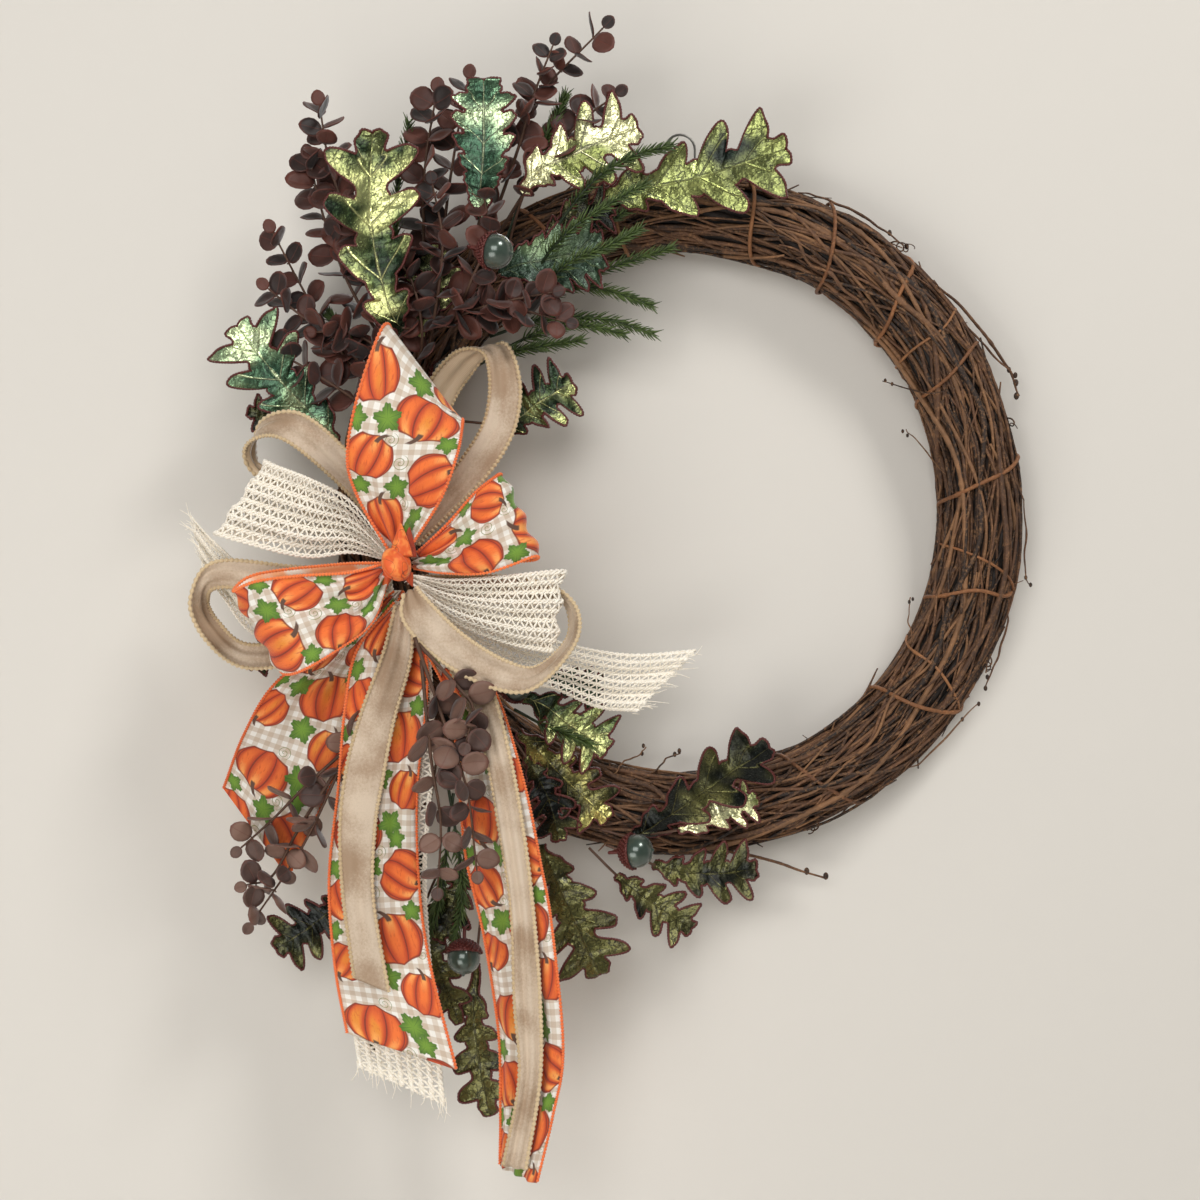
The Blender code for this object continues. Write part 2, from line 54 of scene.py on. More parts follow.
# ---------------------------------------------------------------- places taken from the frame
RING_LOW, RING_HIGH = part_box("vine_bundle")
RING_Z = (RING_LOW[2] + RING_HIGH[2]) / 2
BUNDLE_RADIUS = -RING_LOW[1]
RING_RADIUS = (RING_HIGH[0] - RING_LOW[0]) / 2 - BUNDLE_RADIUS
BACK_Y = RING_HIGH[1]
KNOT_LOW, KNOT_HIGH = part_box("bow_knot")
KNOT = (Vector(KNOT_LOW) + Vector(KNOT_HIGH)) / 2


def laid(point):
    """World place of a point of the arrangement: millimetres from the knot, h in front of the bundle."""
    x, z, h = point
    return Vector((KNOT.x + x * MM, -(BUNDLE_RADIUS + h * MM), KNOT.z + z * MM))


def smooth_path(points, steps):
    """Catmull-Rom curve through the points, with a number of steps between each two."""
    points = [np.array(p, float) for p in points]
    ends = [points[0] * 2 - points[1]] + points + [points[-1] * 2 - points[-2]]
    path = []
    for i in range(1, len(ends) - 2):
        a, b, c, d = ends[i - 1:i + 3]
        for k in range(steps):
            t = k / steps
            path.append(0.5 * (2 * b + (c - a) * t + (2 * a - 5 * b + 4 * c - d) * t * t
                               + (3 * b - a - 3 * c + d) * t ** 3))
    path.append(points[-1])
    return np.array(path)


# ---------------------------------------------------------------- mesh helpers
class Parts:
    """Collects shapes and makes one mesh object of them, with a random tone for each shape."""

    def __init__(self):
        self.verts, self.faces, self.tones, self.slots = [], [], [], []
        self.count = 0

    def add(self, verts, faces, tone=0.5, slot=0):
        verts = np.asarray(verts, float)
        self.verts.append(verts)
        self.faces.extend([tuple(i + self.count for i in face) for face in faces])
        self.slots.extend([slot] * len(faces))
        self.tones.append(np.full(len(verts), tone) if np.isscalar(tone) else np.asarray(tone, float))
        self.count += len(verts)

    def build(self, name, *materials):
        mesh = bpy.data.meshes.new(name)
        mesh.from_pydata(np.concatenate(self.verts).tolist(), [], self.faces)
        for material in materials:
            mesh.materials.append(material)
        mesh.polygons.foreach_set("material_index", self.slots)
        mesh.polygons.foreach_set("use_smooth", [True] * len(mesh.polygons))
        tone = mesh.attributes.new("tone", "FLOAT", "POINT")
        tone.data.foreach_set("value", np.concatenate(self.tones))
        mesh.update()
        obj = bpy.data.objects.new(name, mesh)
        bpy.context.scene.collection.objects.link(obj)
        return obj


def frames_along(points):
    """Unit tangents, and two unit normals that turn as little as they can along the points."""
    tangents = np.gradient(points, axis=0)
    tangents /= np.linalg.norm(tangents, axis=1)[:, None] + 1e-12
    start = np.array([0.0, 1.0, 0.0]) if abs(tangents[0][1]) < 0.9 else np.array([1.0, 0.0, 0.0])
    normals = np.empty_like(points)
    current = start
    for i, tangent in enumerate(tangents):
        current = current - tangent * current.dot(tangent)
        current /= np.linalg.norm(current) + 1e-12
        normals[i] = current
    return tangents, normals, np.cross(tangents, normals)


def bands(rings, sides, first=0):
    """Faces between neighbouring rings of points, the rings one after another."""
    faces = []
    for i in range(rings - 1):
        a = first + i * sides
        for k in range(sides):
            j = (k + 1) % sides
            faces.append((a + k, a + j, a + sides + j, a + sides + k))
    return faces


def tube(points, radii, sides):
    """A closed tube through the points."""
    points = np.asarray(points, float)
    radii = np.broadcast_to(np.asarray(radii, float), (len(points),))
    _, normal, binormal = frames_along(points)
    turn = np.linspace(0, 2 * math.pi, sides, endpoint=False)
    ring = (normal[:, None, :] * np.cos(turn)[None, :, None]
            + binormal[:, None, :] * np.sin(turn)[None, :, None])
    verts = (points[:, None, :] + ring * radii[:, None, None]).reshape(-1, 3)
    faces = bands(len(points), sides)
    faces.append(tuple(range(sides - 1, -1, -1)))
    last = (len(points) - 1) * sides
    faces.append(tuple(range(last, last + sides)))
    return verts, faces


def ball(centre, radius, rings=5, sides=7, squash=(1, 1, 1)):
    """A closed round bead."""
    verts = [(0, 0, 1)]
    for i in range(1, rings):
        a = math.pi * i / rings
        for k in range(sides):
            b = 2 * math.pi * k / sides
            verts.append((math.sin(a) * math.cos(b), math.sin(a) * math.sin(b), math.cos(a)))
    verts.append((0, 0, -1))
    verts = np.array(verts) * np.array(squash) * radius
    faces = []
    for k in range(sides):
        j = (k + 1) % sides
        faces.append((0, 1 + k, 1 + j))
        for i in range(rings - 2):
            a = 1 + i * sides
            faces.append((a + k, a + sides + k, a + sides + j, a + j))
        last = 1 + (rings - 2) * sides
        faces.append((last + k, len(verts) - 1, last + j))
    return verts + np.array(centre), faces


def sheet_solid(grid, thickness):
    """A closed thin solid around a grid of points: its points, faces and how many faces the front has."""
    rows, columns = grid.shape[:2]
    along = np.gradient(grid, axis=0)
    across = np.gradient(grid, axis=1)
    normal = np.cross(across, along)
    normal /= np.linalg.norm(normal, axis=2)[:, :, None] + 1e-12
    front = (grid + normal * thickness / 2).reshape(-1, 3)
    back = (grid - normal * thickness / 2).reshape(-1, 3)
    count = rows * columns
    faces = []
    for i in range(rows - 1):
        for k in range(columns - 1):
            a = i * columns + k
            faces.append((a, a + 1, a + columns + 1, a + columns))
    front_count = len(faces)
    faces += [tuple(count + v for v in reversed(face)) for face in faces[:front_count]]
    rim = ([k for k in range(columns)] + [i * columns + columns - 1 for i in range(1, rows)]
           + [(rows - 1) * columns + k for k in range(columns - 2, -1, -1)]
           + [i * columns for i in range(rows - 2, 0, -1)])
    for a, b in zip(rim, rim[1:] + rim[:1]):
        faces.append((b, a, count + a, count + b))
    return np.concatenate([front, back]), faces, front_count


def set_uv(mesh, layer_name, values):
    """A UV layer from one pair of values for each vertex."""
    index = np.empty(len(mesh.loops), int)
    mesh.loops.foreach_get("vertex_index", index)
    layer = mesh.uv_layers.new(name=layer_name)
    layer.data.foreach_set("uv", values[index].ravel())


def across_and_along(across, along):
    """Every pair of the two lists of values, for the front and then the back of a sheet_solid."""
    pairs = np.stack(np.meshgrid(across, along), axis=-1).reshape(-1, 2)
    return np.tile(pairs, (2, 1))


# ---------------------------------------------------------------- material helpers
class Value:
    """A number that a material's nodes work out, with the usual arithmetic."""

    def __init__(self, maker, socket):
        self.maker = maker
        self.socket = socket

    def __add__(self, other):
        return self.maker.math("ADD", self, other)

    def __radd__(self, other):
        return self.maker.math("ADD", other, self)

    def __sub__(self, other):
        return self.maker.math("SUBTRACT", self, other)

    def __rsub__(self, other):
        return self.maker.math("SUBTRACT", other, self)

    def __mul__(self, other):
        return self.maker.math("MULTIPLY", self, other)

    def __truediv__(self, other):
        return self.maker.math("DIVIDE", self, other)

    def __abs__(self):
        return self.maker.math("ABSOLUTE", self)


class Maker:
    """Adds nodes to a material. An input may be a plain number, a colour, a Value or a socket."""

    def __init__(self, name):
        self.material = bpy.data.materials.new(name)
        self.material.use_nodes = True
        self.tree = self.material.node_tree
        self.shader = self.tree.nodes["Principled BSDF"]

    def plug(self, socket, value):
        if isinstance(value, Value):
            value = value.socket
        if isinstance(value, bpy.types.NodeSocket):
            self.tree.links.new(value, socket)
        elif isinstance(value, tuple) and len(value) == 3 and socket.type == "RGBA":
            socket.default_value = (*value, 1.0)
        else:
            socket.default_value = value

    def set(self, **values):
        for name, value in values.items():
            self.plug(self.shader.inputs[name.replace("_", " ")], value)
        return self

    def math(self, operation, *values):
        node = self.tree.nodes.new("ShaderNodeMath")
        node.operation = operation
        for socket, value in zip(node.inputs, values):
            self.plug(socket, value)
        return Value(self, node.outputs[0])

    def ramp(self, value, low, high):
        """0 below low and 1 above high, smooth between; low may be above high."""
        node = self.tree.nodes.new("ShaderNodeMapRange")
        node.interpolation_type = "SMOOTHSTEP"
        flip = low > high
        self.plug(node.inputs["Value"], value)
        node.inputs["From Min"].default_value = min(low, high)
        node.inputs["From Max"].default_value = max(low, high)
        node.inputs["To Min"].default_value = 1.0 if flip else 0.0
        node.inputs["To Max"].default_value = 0.0 if flip else 1.0
        return Value(self, node.outputs["Result"])

    def mix(self, share, a, b):
        """Colour a where the share is 0, colour b where it is 1."""
        node = self.tree.nodes.new("ShaderNodeMix")
        node.data_type = "RGBA"
        self.plug(node.inputs[0], share)
        self.plug(node.inputs[6], a)
        self.plug(node.inputs[7], b)
        return node.outputs[2]

    def noise(self, scale, detail=4.0, vector=None, roughness=0.55):
        node = self.tree.nodes.new("ShaderNodeTexNoise")
        node.inputs["Scale"].default_value = scale
        node.inputs["Detail"].default_value = detail
        node.inputs["Roughness"].default_value = roughness
        self.tree.links.new(vector or self.place(), node.inputs["Vector"])
        return Value(self, node.outputs["Fac"])

    def cells(self, scale, vector=None):
        """Distance from the nearest of many scattered points."""
        node = self.tree.nodes.new("ShaderNodeTexVoronoi")
        node.inputs["Scale"].default_value = scale
        self.tree.links.new(vector or self.place(), node.inputs["Vector"])
        return Value(self, node.outputs["Distance"])

    def place(self):
        """Place on the object, from one node that all the patterns share."""
        kind = "ShaderNodeTexCoord"
        found = [node for node in self.tree.nodes if node.bl_idname == kind]
        node = found[0] if found else self.tree.nodes.new(kind)
        return node.outputs["Object"]

    def uv(self, layer):
        """The two coordinates of a UV layer, and the socket that holds both."""
        node = self.tree.nodes.new("ShaderNodeUVMap")
        node.uv_map = layer
        split = self.tree.nodes.new("ShaderNodeSeparateXYZ")
        self.tree.links.new(node.outputs["UV"], split.inputs[0])
        return Value(self, split.outputs[0]), Value(self, split.outputs[1]), node.outputs["UV"]

    def stretch(self, vector, factors):
        node = self.tree.nodes.new("ShaderNodeMapping")
        self.tree.links.new(vector, node.inputs["Vector"])
        node.inputs["Scale"].default_value = factors
        return node.outputs[0]

    def attribute(self, name):
        node = self.tree.nodes.new("ShaderNodeAttribute")
        node.attribute_name = name
        return Value(self, node.outputs["Fac"])

    def bump(self, height, strength, distance):
        node = self.tree.nodes.new("ShaderNodeBump")
        node.inputs["Strength"].default_value = strength
        node.inputs["Distance"].default_value = distance
        self.plug(node.inputs["Height"], height)
        return node.outputs["Normal"]


def srgb(r, g, b):
    """Linear colour from display values of 0 to 255."""
    return tuple(((c / 255 + 0.055) / 1.055) ** 2.4 if c > 10 else c / 255 / 12.92 for c in (r, g, b))


# ---------------------------------------------------------------- materials
def vine_material(name, dark, mid, light):
    """Peeling dried bark: long fibres, lighter scuffs, and a tone for each vine."""
    m = Maker(name)
    tone = m.attribute("tone")
    grain = m.noise(420, 6, roughness=0.7)
    patches = m.noise(60, 3)
    colour = m.mix(m.ramp(tone, 0.05, 0.65), dark, mid)
    colour = m.mix(m.ramp(tone, 0.68, 1.0) * 0.5, colour, light)
    colour = m.mix(m.ramp(grain, 0.46, 0.70) * 0.75, colour, light)
    colour = m.mix(m.ramp(patches, 0.60, 0.40) * 0.35, colour, tuple(c * 0.5 for c in dark))
    m.set(Base_Color=colour, Roughness=0.55 + grain * 0.3,
          Normal=m.bump(grain + patches, 0.7, 0.0009))
    return m.material


def wire_material():
    """Dull steel."""
    m = Maker("florist_wire")
    wear = m.noise(300, 4)
    m.set(Base_Color=m.mix(wear, srgb(95, 95, 92), srgb(165, 163, 158)), Metallic=0.9,
          Roughness=0.25 + wear * 0.35, Normal=m.bump(wear, 0.2, 0.0003))
    return m.material


def velvet_material():
    """Short pile, with broad lighter patches painted in as the sheen of pile that lies the other way."""
    m = Maker("velvet_face")
    broad_sheen = m.noise(24, 2)
    brushed = m.noise(650, 4, roughness=0.7)
    pile = m.noise(2200, 2)
    painted_sheen = broad_sheen * 0.75 + brushed * 0.25
    # painted sheen: the lighter colour covers broad patches as if the pile caught the light there
    colour = m.mix(m.ramp(painted_sheen, 0.36, 0.62), srgb(160, 134, 108), srgb(210, 192, 170))
    colour = m.mix(pile * 0.25, colour, srgb(128, 102, 76))
    m.set(Base_Color=colour, Roughness=0.6, Normal=m.bump(pile, 0.5, 0.0005))
    m.set(Sheen_Weight=0.8, Sheen_Roughness=0.28, Sheen_Tint=srgb(240, 230, 216))
    return m.material


def satin_material():
    """Smooth ribbed back of the velvet."""
    m = Maker("velvet_back_satin")
    _, v, _ = m.uv("ribbon")
    rib = m.math("SINE", v * (2 * math.pi / 0.9))
    shade = m.noise(45, 3)
    colour = m.mix(shade, srgb(176, 150, 118), srgb(216, 194, 164))
    m.set(Base_Color=colour, Roughness=0.38, Normal=m.bump(rib, 0.25, 0.0002))
    m.set(Sheen_Weight=0.3, Specular_IOR_Level=0.6)
    return m.material


def trim_material(name, dark, light):
    """Overlocked thread along a ribbon's edge."""
    m = Maker(name)
    fibre = m.noise(1500, 3)
    tone = m.attribute("tone")
    colour = m.mix(fibre * 0.5 + tone * 0.5, dark, light)
    m.set(Base_Color=colour, Roughness=0.7, Normal=m.bump(fibre, 0.5, 0.0003))
    m.set(Sheen_Weight=0.3)
    return m.material


def cotton_material():
    """Soft cream cotton yarn."""
    m = Maker("cream_cotton")
    fibre = m.noise(1300, 4)
    tone = m.attribute("tone")
    colour = m.mix(m.ramp(fibre, 0.3, 0.7), srgb(232, 220, 198), srgb(255, 251, 242))
    colour = m.mix(tone * 0.15, colour, srgb(236, 224, 200))
    m.set(Base_Color=colour, Roughness=0.9, Normal=m.bump(fibre, 0.7, 0.0006))
    m.set(Sheen_Weight=0.35, Sheen_Roughness=0.6)
    return m.material


PRINT_REPEAT = 128.0     # millimetres of ribbon to one repeat of the print
CHECK = 7.0              # millimetres to one repeat of the gingham
PUMPKINS = [
    # across, along, half width, half height in millimetres, turn in degrees
    (19, 20, 20.5, 16.0, 10), (52, 47, 19.0, 14.5, -62), (12, 62, 16.5, 13.5, -24),
    (43, 88, 21.0, 16.5, 168), (7, 103, 15.5, 12.5, 30), (55, 121, 15.5, 12.5, 196),
]
PRINT_LEAVES = [
    # across, along, radius in millimetres, turn in degrees
    (43, 14, 9.5, 20), (30, 42, 9.0, 100), (20, 84, 9.0, -40), (57, 70, 7.5, 200), (5, 43, 7.5, 150),
    (34, 112, 9.5, 60), (48, 24, 7.5, 130), (2, 82, 7.0, 10),
]
TENDRILS = [(31, 58, 5.0), (28, 2, 4.5), (24, 72, 4.5), (60, 98, 4.0), (36, 32, 4.5)]


def local_place(m, u, v, across, along, turn):
    """Coordinates around a motif's centre, in millimetres, repeated along the ribbon."""
    du = u - across
    dv = m.math("WRAP", v - along, PRINT_REPEAT / 2, -PRINT_REPEAT / 2)
    c, s = math.cos(math.radians(turn)), math.sin(math.radians(turn))
    x = du * c + dv * s
    y = dv * c - du * s
    return x, y


def paint_pumpkin(m, colour, u, v, motif, streaks):
    """Five ribs with contour lines, shaded from deep orange to a warm highlight, and a stem."""
    across, along, half_width, half_height, turn = motif
    x, y = local_place(m, u, v, across, along, turn)
    x, y = x / half_width, y / half_height
    bulge = abs(m.math("SINE", x * 5.2)) * 0.09
    radius = m.math("SQRT", x * x + y * y)
    edge = radius + bulge - 0.02
    body = m.ramp(edge, 1.02, 0.98)
    flat = m.math("SQRT", m.math("MAXIMUM", 1.02 - y * y * 0.86, 0.02))
    rib = m.math("ARCSINE", m.math("MINIMUM", m.math("MAXIMUM", x / flat, -1.0), 1.0)) * 1.59
    cell = m.math("FRACT", rib + 10.5)
    middle = (0.5 - abs(cell - 0.5)) * 2.0
    tint = m.mix(m.ramp(middle, 0.05, 0.75), srgb(190, 60, 18), srgb(240, 116, 42))
    gold = m.ramp(m.noise(0.028, 1, vector=m.uv("ribbon")[2]), 0.52, 0.66) * m.ramp(middle, 0.2, 0.8)
    tint = m.mix(gold * 0.75, tint, srgb(226, 146, 40))
    glow = m.ramp(y + streaks * 0.8, 0.45, 1.15) * m.ramp(middle, 0.3, 0.9)
    tint = m.mix(glow * 0.8, tint, srgb(252, 178, 96))
    tint = m.mix(m.ramp(y, -0.1, -0.95) * 0.55, tint, srgb(190, 56, 16))
    tint = m.mix(m.ramp(streaks, 0.52, 0.66) * 0.6, tint, srgb(204, 76, 22))
    line = m.math("MAXIMUM", m.ramp(middle, 0.13, 0.03), m.ramp(edge, 0.91, 0.97))
    tint = m.mix(line * 0.85, tint, srgb(112, 38, 18))
    colour = m.mix(body, colour, tint)
    lean = abs(x - m.math("POWER", m.math("MAXIMUM", y - 0.7, 0.0), 2.0) * 1.1)
    stem = m.ramp(lean, 0.10, 0.06) * (m.ramp(y, 0.66, 0.74) * m.ramp(y, 1.22, 1.14))
    return m.mix(stem, colour, srgb(92, 64, 50))


def paint_leaf(m, colour, u, v, motif):
    """A five-lobed green leaf, paler in the middle."""
    across, along, size, turn = motif
    x, y = local_place(m, u, v, across, along, turn)
    radius = m.math("SQRT", x * x + y * y)
    angle = m.math("ARCTAN2", y, x)
    wave = m.math("COSINE", angle * 5.0)
    teeth = m.math("COSINE", angle * 19.0)
    reach = 0.80 + wave * 0.17 + teeth * 0.05
    edge = radius / size / reach
    body = m.ramp(edge, 1.03, 0.95)
    tint = m.mix(m.ramp(edge, 0.2, 1.0), srgb(112, 152, 42), srgb(78, 118, 30))
    tint = m.mix(m.ramp(wave, 0.93, 0.995) * 0.6, tint, srgb(62, 96, 26))
    return m.mix(body, colour, tint)


def paint_tendril(m, colour, u, v, motif):
    """A thin olive spiral."""
    across, along, size = motif
    x, y = local_place(m, u, v, across, along, 30.0)
    radius = m.math("SQRT", x * x + y * y)
    angle = m.math("ARCTAN2", y, x) / (2 * math.pi) + 0.5
    turns = radius / size * 2.0 - angle
    line = m.ramp(abs(m.math("FRACT", turns) - 0.5), 0.13, 0.06)
    line = line * m.ramp(radius / size, 1.05, 1.0)
    return m.mix(line * 0.85, colour, srgb(122, 128, 66))


def printed_material():
    """Woven ribbon printed with pumpkins, leaves and tendrils over tan gingham."""
    m = Maker("pumpkin_print")
    u, v, place = m.uv("ribbon")
    stripe_u = m.ramp(m.math("SINE", u * (2 * math.pi / CHECK)), -0.15, 0.15)
    stripe_v = m.ramp(m.math("SINE", v * (2 * math.pi / CHECK)), -0.15, 0.15)
    colour = m.mix(stripe_u * 0.42, srgb(240, 236, 228), srgb(184, 154, 120))
    colour = m.mix(stripe_v * 0.46, colour, srgb(180, 150, 116))
    streaks = m.noise(0.30, 4, vector=m.stretch(place, (2.2, 0.55, 1.0)))
    for motif in TENDRILS:
        colour = paint_tendril(m, colour, u, v, motif)
    for motif in PUMPKINS:
        colour = paint_pumpkin(m, colour, u, v, motif, streaks)
    for motif in PRINT_LEAVES:
        colour = paint_leaf(m, colour, u, v, motif)
    warp = m.math("SINE", u * (2 * math.pi / 0.55))
    weft = m.math("SINE", v * (2 * math.pi / 0.55))
    weave = warp * weft
    # painted shade: the low points of the weave are darkened
    colour = m.mix(m.ramp(weave, -0.2, -1.0) * 0.16, colour, srgb(120, 92, 66))
    glitter = m.ramp(m.cells(1.1, vector=place), 0.10, 0.05)
    colour = m.mix(glitter * 0.35, colour, srgb(255, 226, 150))
    m.set(Base_Color=colour, Roughness=0.62, Normal=m.bump(weave, 0.35, 0.0003))
    m.set(Sheen_Weight=0.15)
    return m.material


def print_back_material():
    """Back of the printed ribbon: the print shows through faintly."""
    m = Maker("pumpkin_print_back")
    ghost = m.noise(38, 2)
    weave = m.noise(1800, 2)
    colour = m.mix(m.ramp(ghost, 0.45, 0.58), srgb(238, 226, 210), srgb(238, 168, 120))
    m.set(Base_Color=colour, Roughness=0.8, Normal=m.bump(weave, 0.4, 0.0003))
    m.set(Sheen_Weight=0.15)
    return m.material


def knot_material():
    """The knot shows mostly the orange of the print, with painted shade on its darker folds and in thin
    creases, and painted highlights on the lit folds.
    """
    m = Maker("knot_print")
    weave = m.noise(2200, 2)
    tone = m.attribute("tone")
    glow = m.noise(150, 2)
    # painted shade: pieces with a low tone take the dark orange
    colour = m.mix(m.ramp(tone, 0.0, 0.6), srgb(150, 48, 16), srgb(222, 92, 30))
    # painted highlight: lighter orange patches on the pieces with a high tone
    colour = m.mix(m.ramp(glow, 0.45, 0.65) * m.ramp(tone, 0.1, 0.7), colour, srgb(242, 142, 66))
    # painted shade: thin dark crease lines
    colour = m.mix(m.ramp(abs(m.noise(95, 1) - 0.5), 0.012, 0.0) * 0.8, colour,
                   srgb(104, 36, 18))
    m.set(Base_Color=colour, Roughness=0.62, Normal=m.bump(weave, 0.4, 0.0004))
    m.set(Sheen_Weight=0.15)
    return m.material


def oak_material(name, dark, mid, bright, metal):
    """Crinkled foil over a leaf, with painted shade in the creases and painted highlights on the raised
    veins.
    """
    dark, mid, bright = srgb(*dark), srgb(*mid), srgb(*bright)
    m = Maker(name)
    u, v, _ = m.uv("leaf")
    tone = m.attribute("tone")
    crinkle = m.noise(95, 3)
    broad = m.noise(26, 2)
    fine = m.noise(520, 3)
    creases = m.ramp(abs(m.noise(130, 2) - 0.5), 0.022, 0.0)
    colour = m.mix(m.ramp(crinkle * 0.25 + broad * 0.75, 0.40, 0.62), dark, mid)
    colour = m.mix(m.ramp(broad + tone * 0.2, 0.50, 0.72) * 0.85, colour, bright)
    slant = v - abs(u) * 0.10
    vein = abs(m.math("FRACT", slant * 4.3 + 0.1) - 0.5)
    vein = m.math("MAXIMUM", m.ramp(vein, 0.045, 0.0), m.ramp(abs(u), 0.06, 0.0))
    # painted highlight: the raised veins take the bright colour
    colour = m.mix(vein * 0.7, colour, bright)
    # painted shade: the creases take the dark colour
    colour = m.mix(creases * 0.4, colour, dark)
    height = crinkle * 1.4 + fine * 0.22 + vein * 0.45
    height = height - creases * 0.30
    m.set(Base_Color=colour, Metallic=metal, Roughness=0.20 + fine * 0.16,
          Normal=m.bump(height, 0.8, 0.0022))
    m.set(Coat_Weight=0.25, Coat_Roughness=0.25)
    return m.material


def bead_material(name, dark, light):
    """Dark red grains with small painted glints."""
    m = Maker(name)
    grain = m.noise(1600, 3)
    painted_glint = m.ramp(m.cells(1500), 0.22, 0.1)
    colour = m.mix(grain, srgb(*dark), srgb(*light))
    # painted glints: small pale specks
    colour = m.mix(painted_glint * 0.5, colour, srgb(200, 130, 110))
    m.set(Base_Color=colour, Roughness=0.42, Metallic=0.25, Normal=m.bump(grain, 0.5, 0.0004))
    return m.material


def eucalyptus_material(name, dark, light, edge):
    """Matt leaf with a dusty bloom, and a vein and a rim of another colour."""
    dark, light, edge = srgb(*dark), srgb(*light), srgb(*edge)
    m = Maker(name)
    u, v, _ = m.uv("leaf")
    tone = m.attribute("tone")
    bloom = m.noise(90, 4)
    colour = m.mix(m.ramp(tone * 0.7 + bloom * 0.5, 0.25, 0.9), dark, light)
    rim = m.ramp(m.math("SQRT", u * u + v * v), 0.78, 1.0)
    colour = m.mix(rim * 0.6, colour, edge)
    vein = m.ramp(abs(u), 0.07, 0.0)
    colour = m.mix(vein * 0.45, colour, edge)
    m.set(Base_Color=colour, Roughness=0.6, Normal=m.bump(bloom + vein * -0.4, 0.35, 0.0008))
    m.set(Sheen_Weight=0.12, Sheen_Roughness=0.5)
    return m.material


def stem_material(name, dark, light):
    m = Maker(name)
    grain = m.noise(500, 4)
    m.set(Base_Color=m.mix(grain, dark, light), Roughness=0.65, Normal=m.bump(grain, 0.4, 0.0005))
    return m.material


def needle_material():
    m = Maker("pine_needles")
    tone = m.attribute("tone")
    shade = m.noise(220, 3)
    colour = m.mix(m.ramp(tone * 0.7 + shade * 0.4, 0.2, 0.9),
                   srgb(25, 40, 18), srgb(82, 102, 48))
    m.set(Base_Color=colour, Roughness=0.5, Normal=m.bump(shade, 0.2, 0.0003))
    return m.material


def pearl_material():
    """Pearly grey-green lacquer over slight dents."""
    m = Maker("pearl_acorn")
    swirl = m.noise(120, 3)
    colour = m.mix(swirl, srgb(28, 40, 33), srgb(68, 86, 74))
    m.set(Base_Color=colour, Roughness=0.26, Metallic=0.35, Normal=m.bump(swirl, 0.25, 0.0008))
    m.set(Coat_Weight=0.8, Coat_Roughness=0.12, Sheen_Weight=0.2)
    return m.material


def stage_material(name, colour, see_through_back=False):
    m = Maker(name)
    m.set(Base_Color=colour, Roughness=0.9)
    if see_through_back:
        facing = m.tree.nodes.new("ShaderNodeNewGeometry")
        clear = m.tree.nodes.new("ShaderNodeBsdfTransparent")
        join = m.tree.nodes.new("ShaderNodeMixShader")
        m.plug(join.inputs[0], facing.outputs["Backfacing"])
        m.plug(join.inputs[1], m.shader.outputs[0])
        m.plug(join.inputs[2], clear.outputs[0])
        m.plug(m.tree.nodes["Material Output"].inputs["Surface"], join.outputs[0])
    return m.material


# ---------------------------------------------------------------- ring of vines
def on_bundle(ring_angle, section_angle, distance):
    """A point around the bundle, in radians: section angle 0 is its front, pi/2 its outer side."""
    radius = RING_RADIUS + distance * np.sin(section_angle)
    return np.stack([radius * np.cos(ring_angle), -distance * np.cos(section_angle),
                     RING_Z + radius * np.sin(ring_angle)], axis=-1)


def wobble(count, rng, size):
    """A smooth random curve of values, made of four waves."""
    t = np.linspace(0, 1, count)
    value = np.zeros(count)
    for k in range(1, 5):
        height = rng.uniform(-1, 1) / k
        value += height * np.sin(2 * math.pi * (k * t * rng.uniform(0.7, 1.4) + rng.random()))
    return value * size


def vine_radii(points, radius, rng):
    """Radii along a vine, with a swelling at every node of the stem."""
    length = np.concatenate([[0], np.cumsum(np.linalg.norm(np.diff(points, axis=0), axis=1))])
    spacing = rng.uniform(0.045, 0.09)
    phase = np.abs(((length / spacing + rng.random()) % 1.0) - 0.5)
    swell = 1 + 0.35 * np.clip(1 - phase / 0.05, 0, 1)
    taper = 0.55 + 0.45 * np.clip(np.minimum(length, length[-1] - length) / 0.03, 0, 1)
    return radius * swell * taper * (1 + 0.08 * np.sin(length * 900))


def press_to_door(points, radius):
    """Nothing passes the plane of the door."""
    points[:, 1] = np.minimum(points[:, 1], BACK_Y - radius * 1.4)
    return points


def from_top(angle):
    """Unsigned angle from the top of the ring, or from the outer side of the bundle, where the loop is."""
    return np.abs((angle - math.pi / 2 + math.pi) % (2 * math.pi) - math.pi)


VINE_PIECES = 5                 # the vines are shared out over this many pieces
STRANDS, INNER_STRANDS = 112, 15  # vines in a piece, and how many of them lie deep in the bundle
VINE_RADII = [0.0007, 0.0010, 0.0012, 0.0015, 0.0019]
VINE_SHARES = [0.22, 0.32, 0.26, 0.14, 0.06]    # how often each radius comes


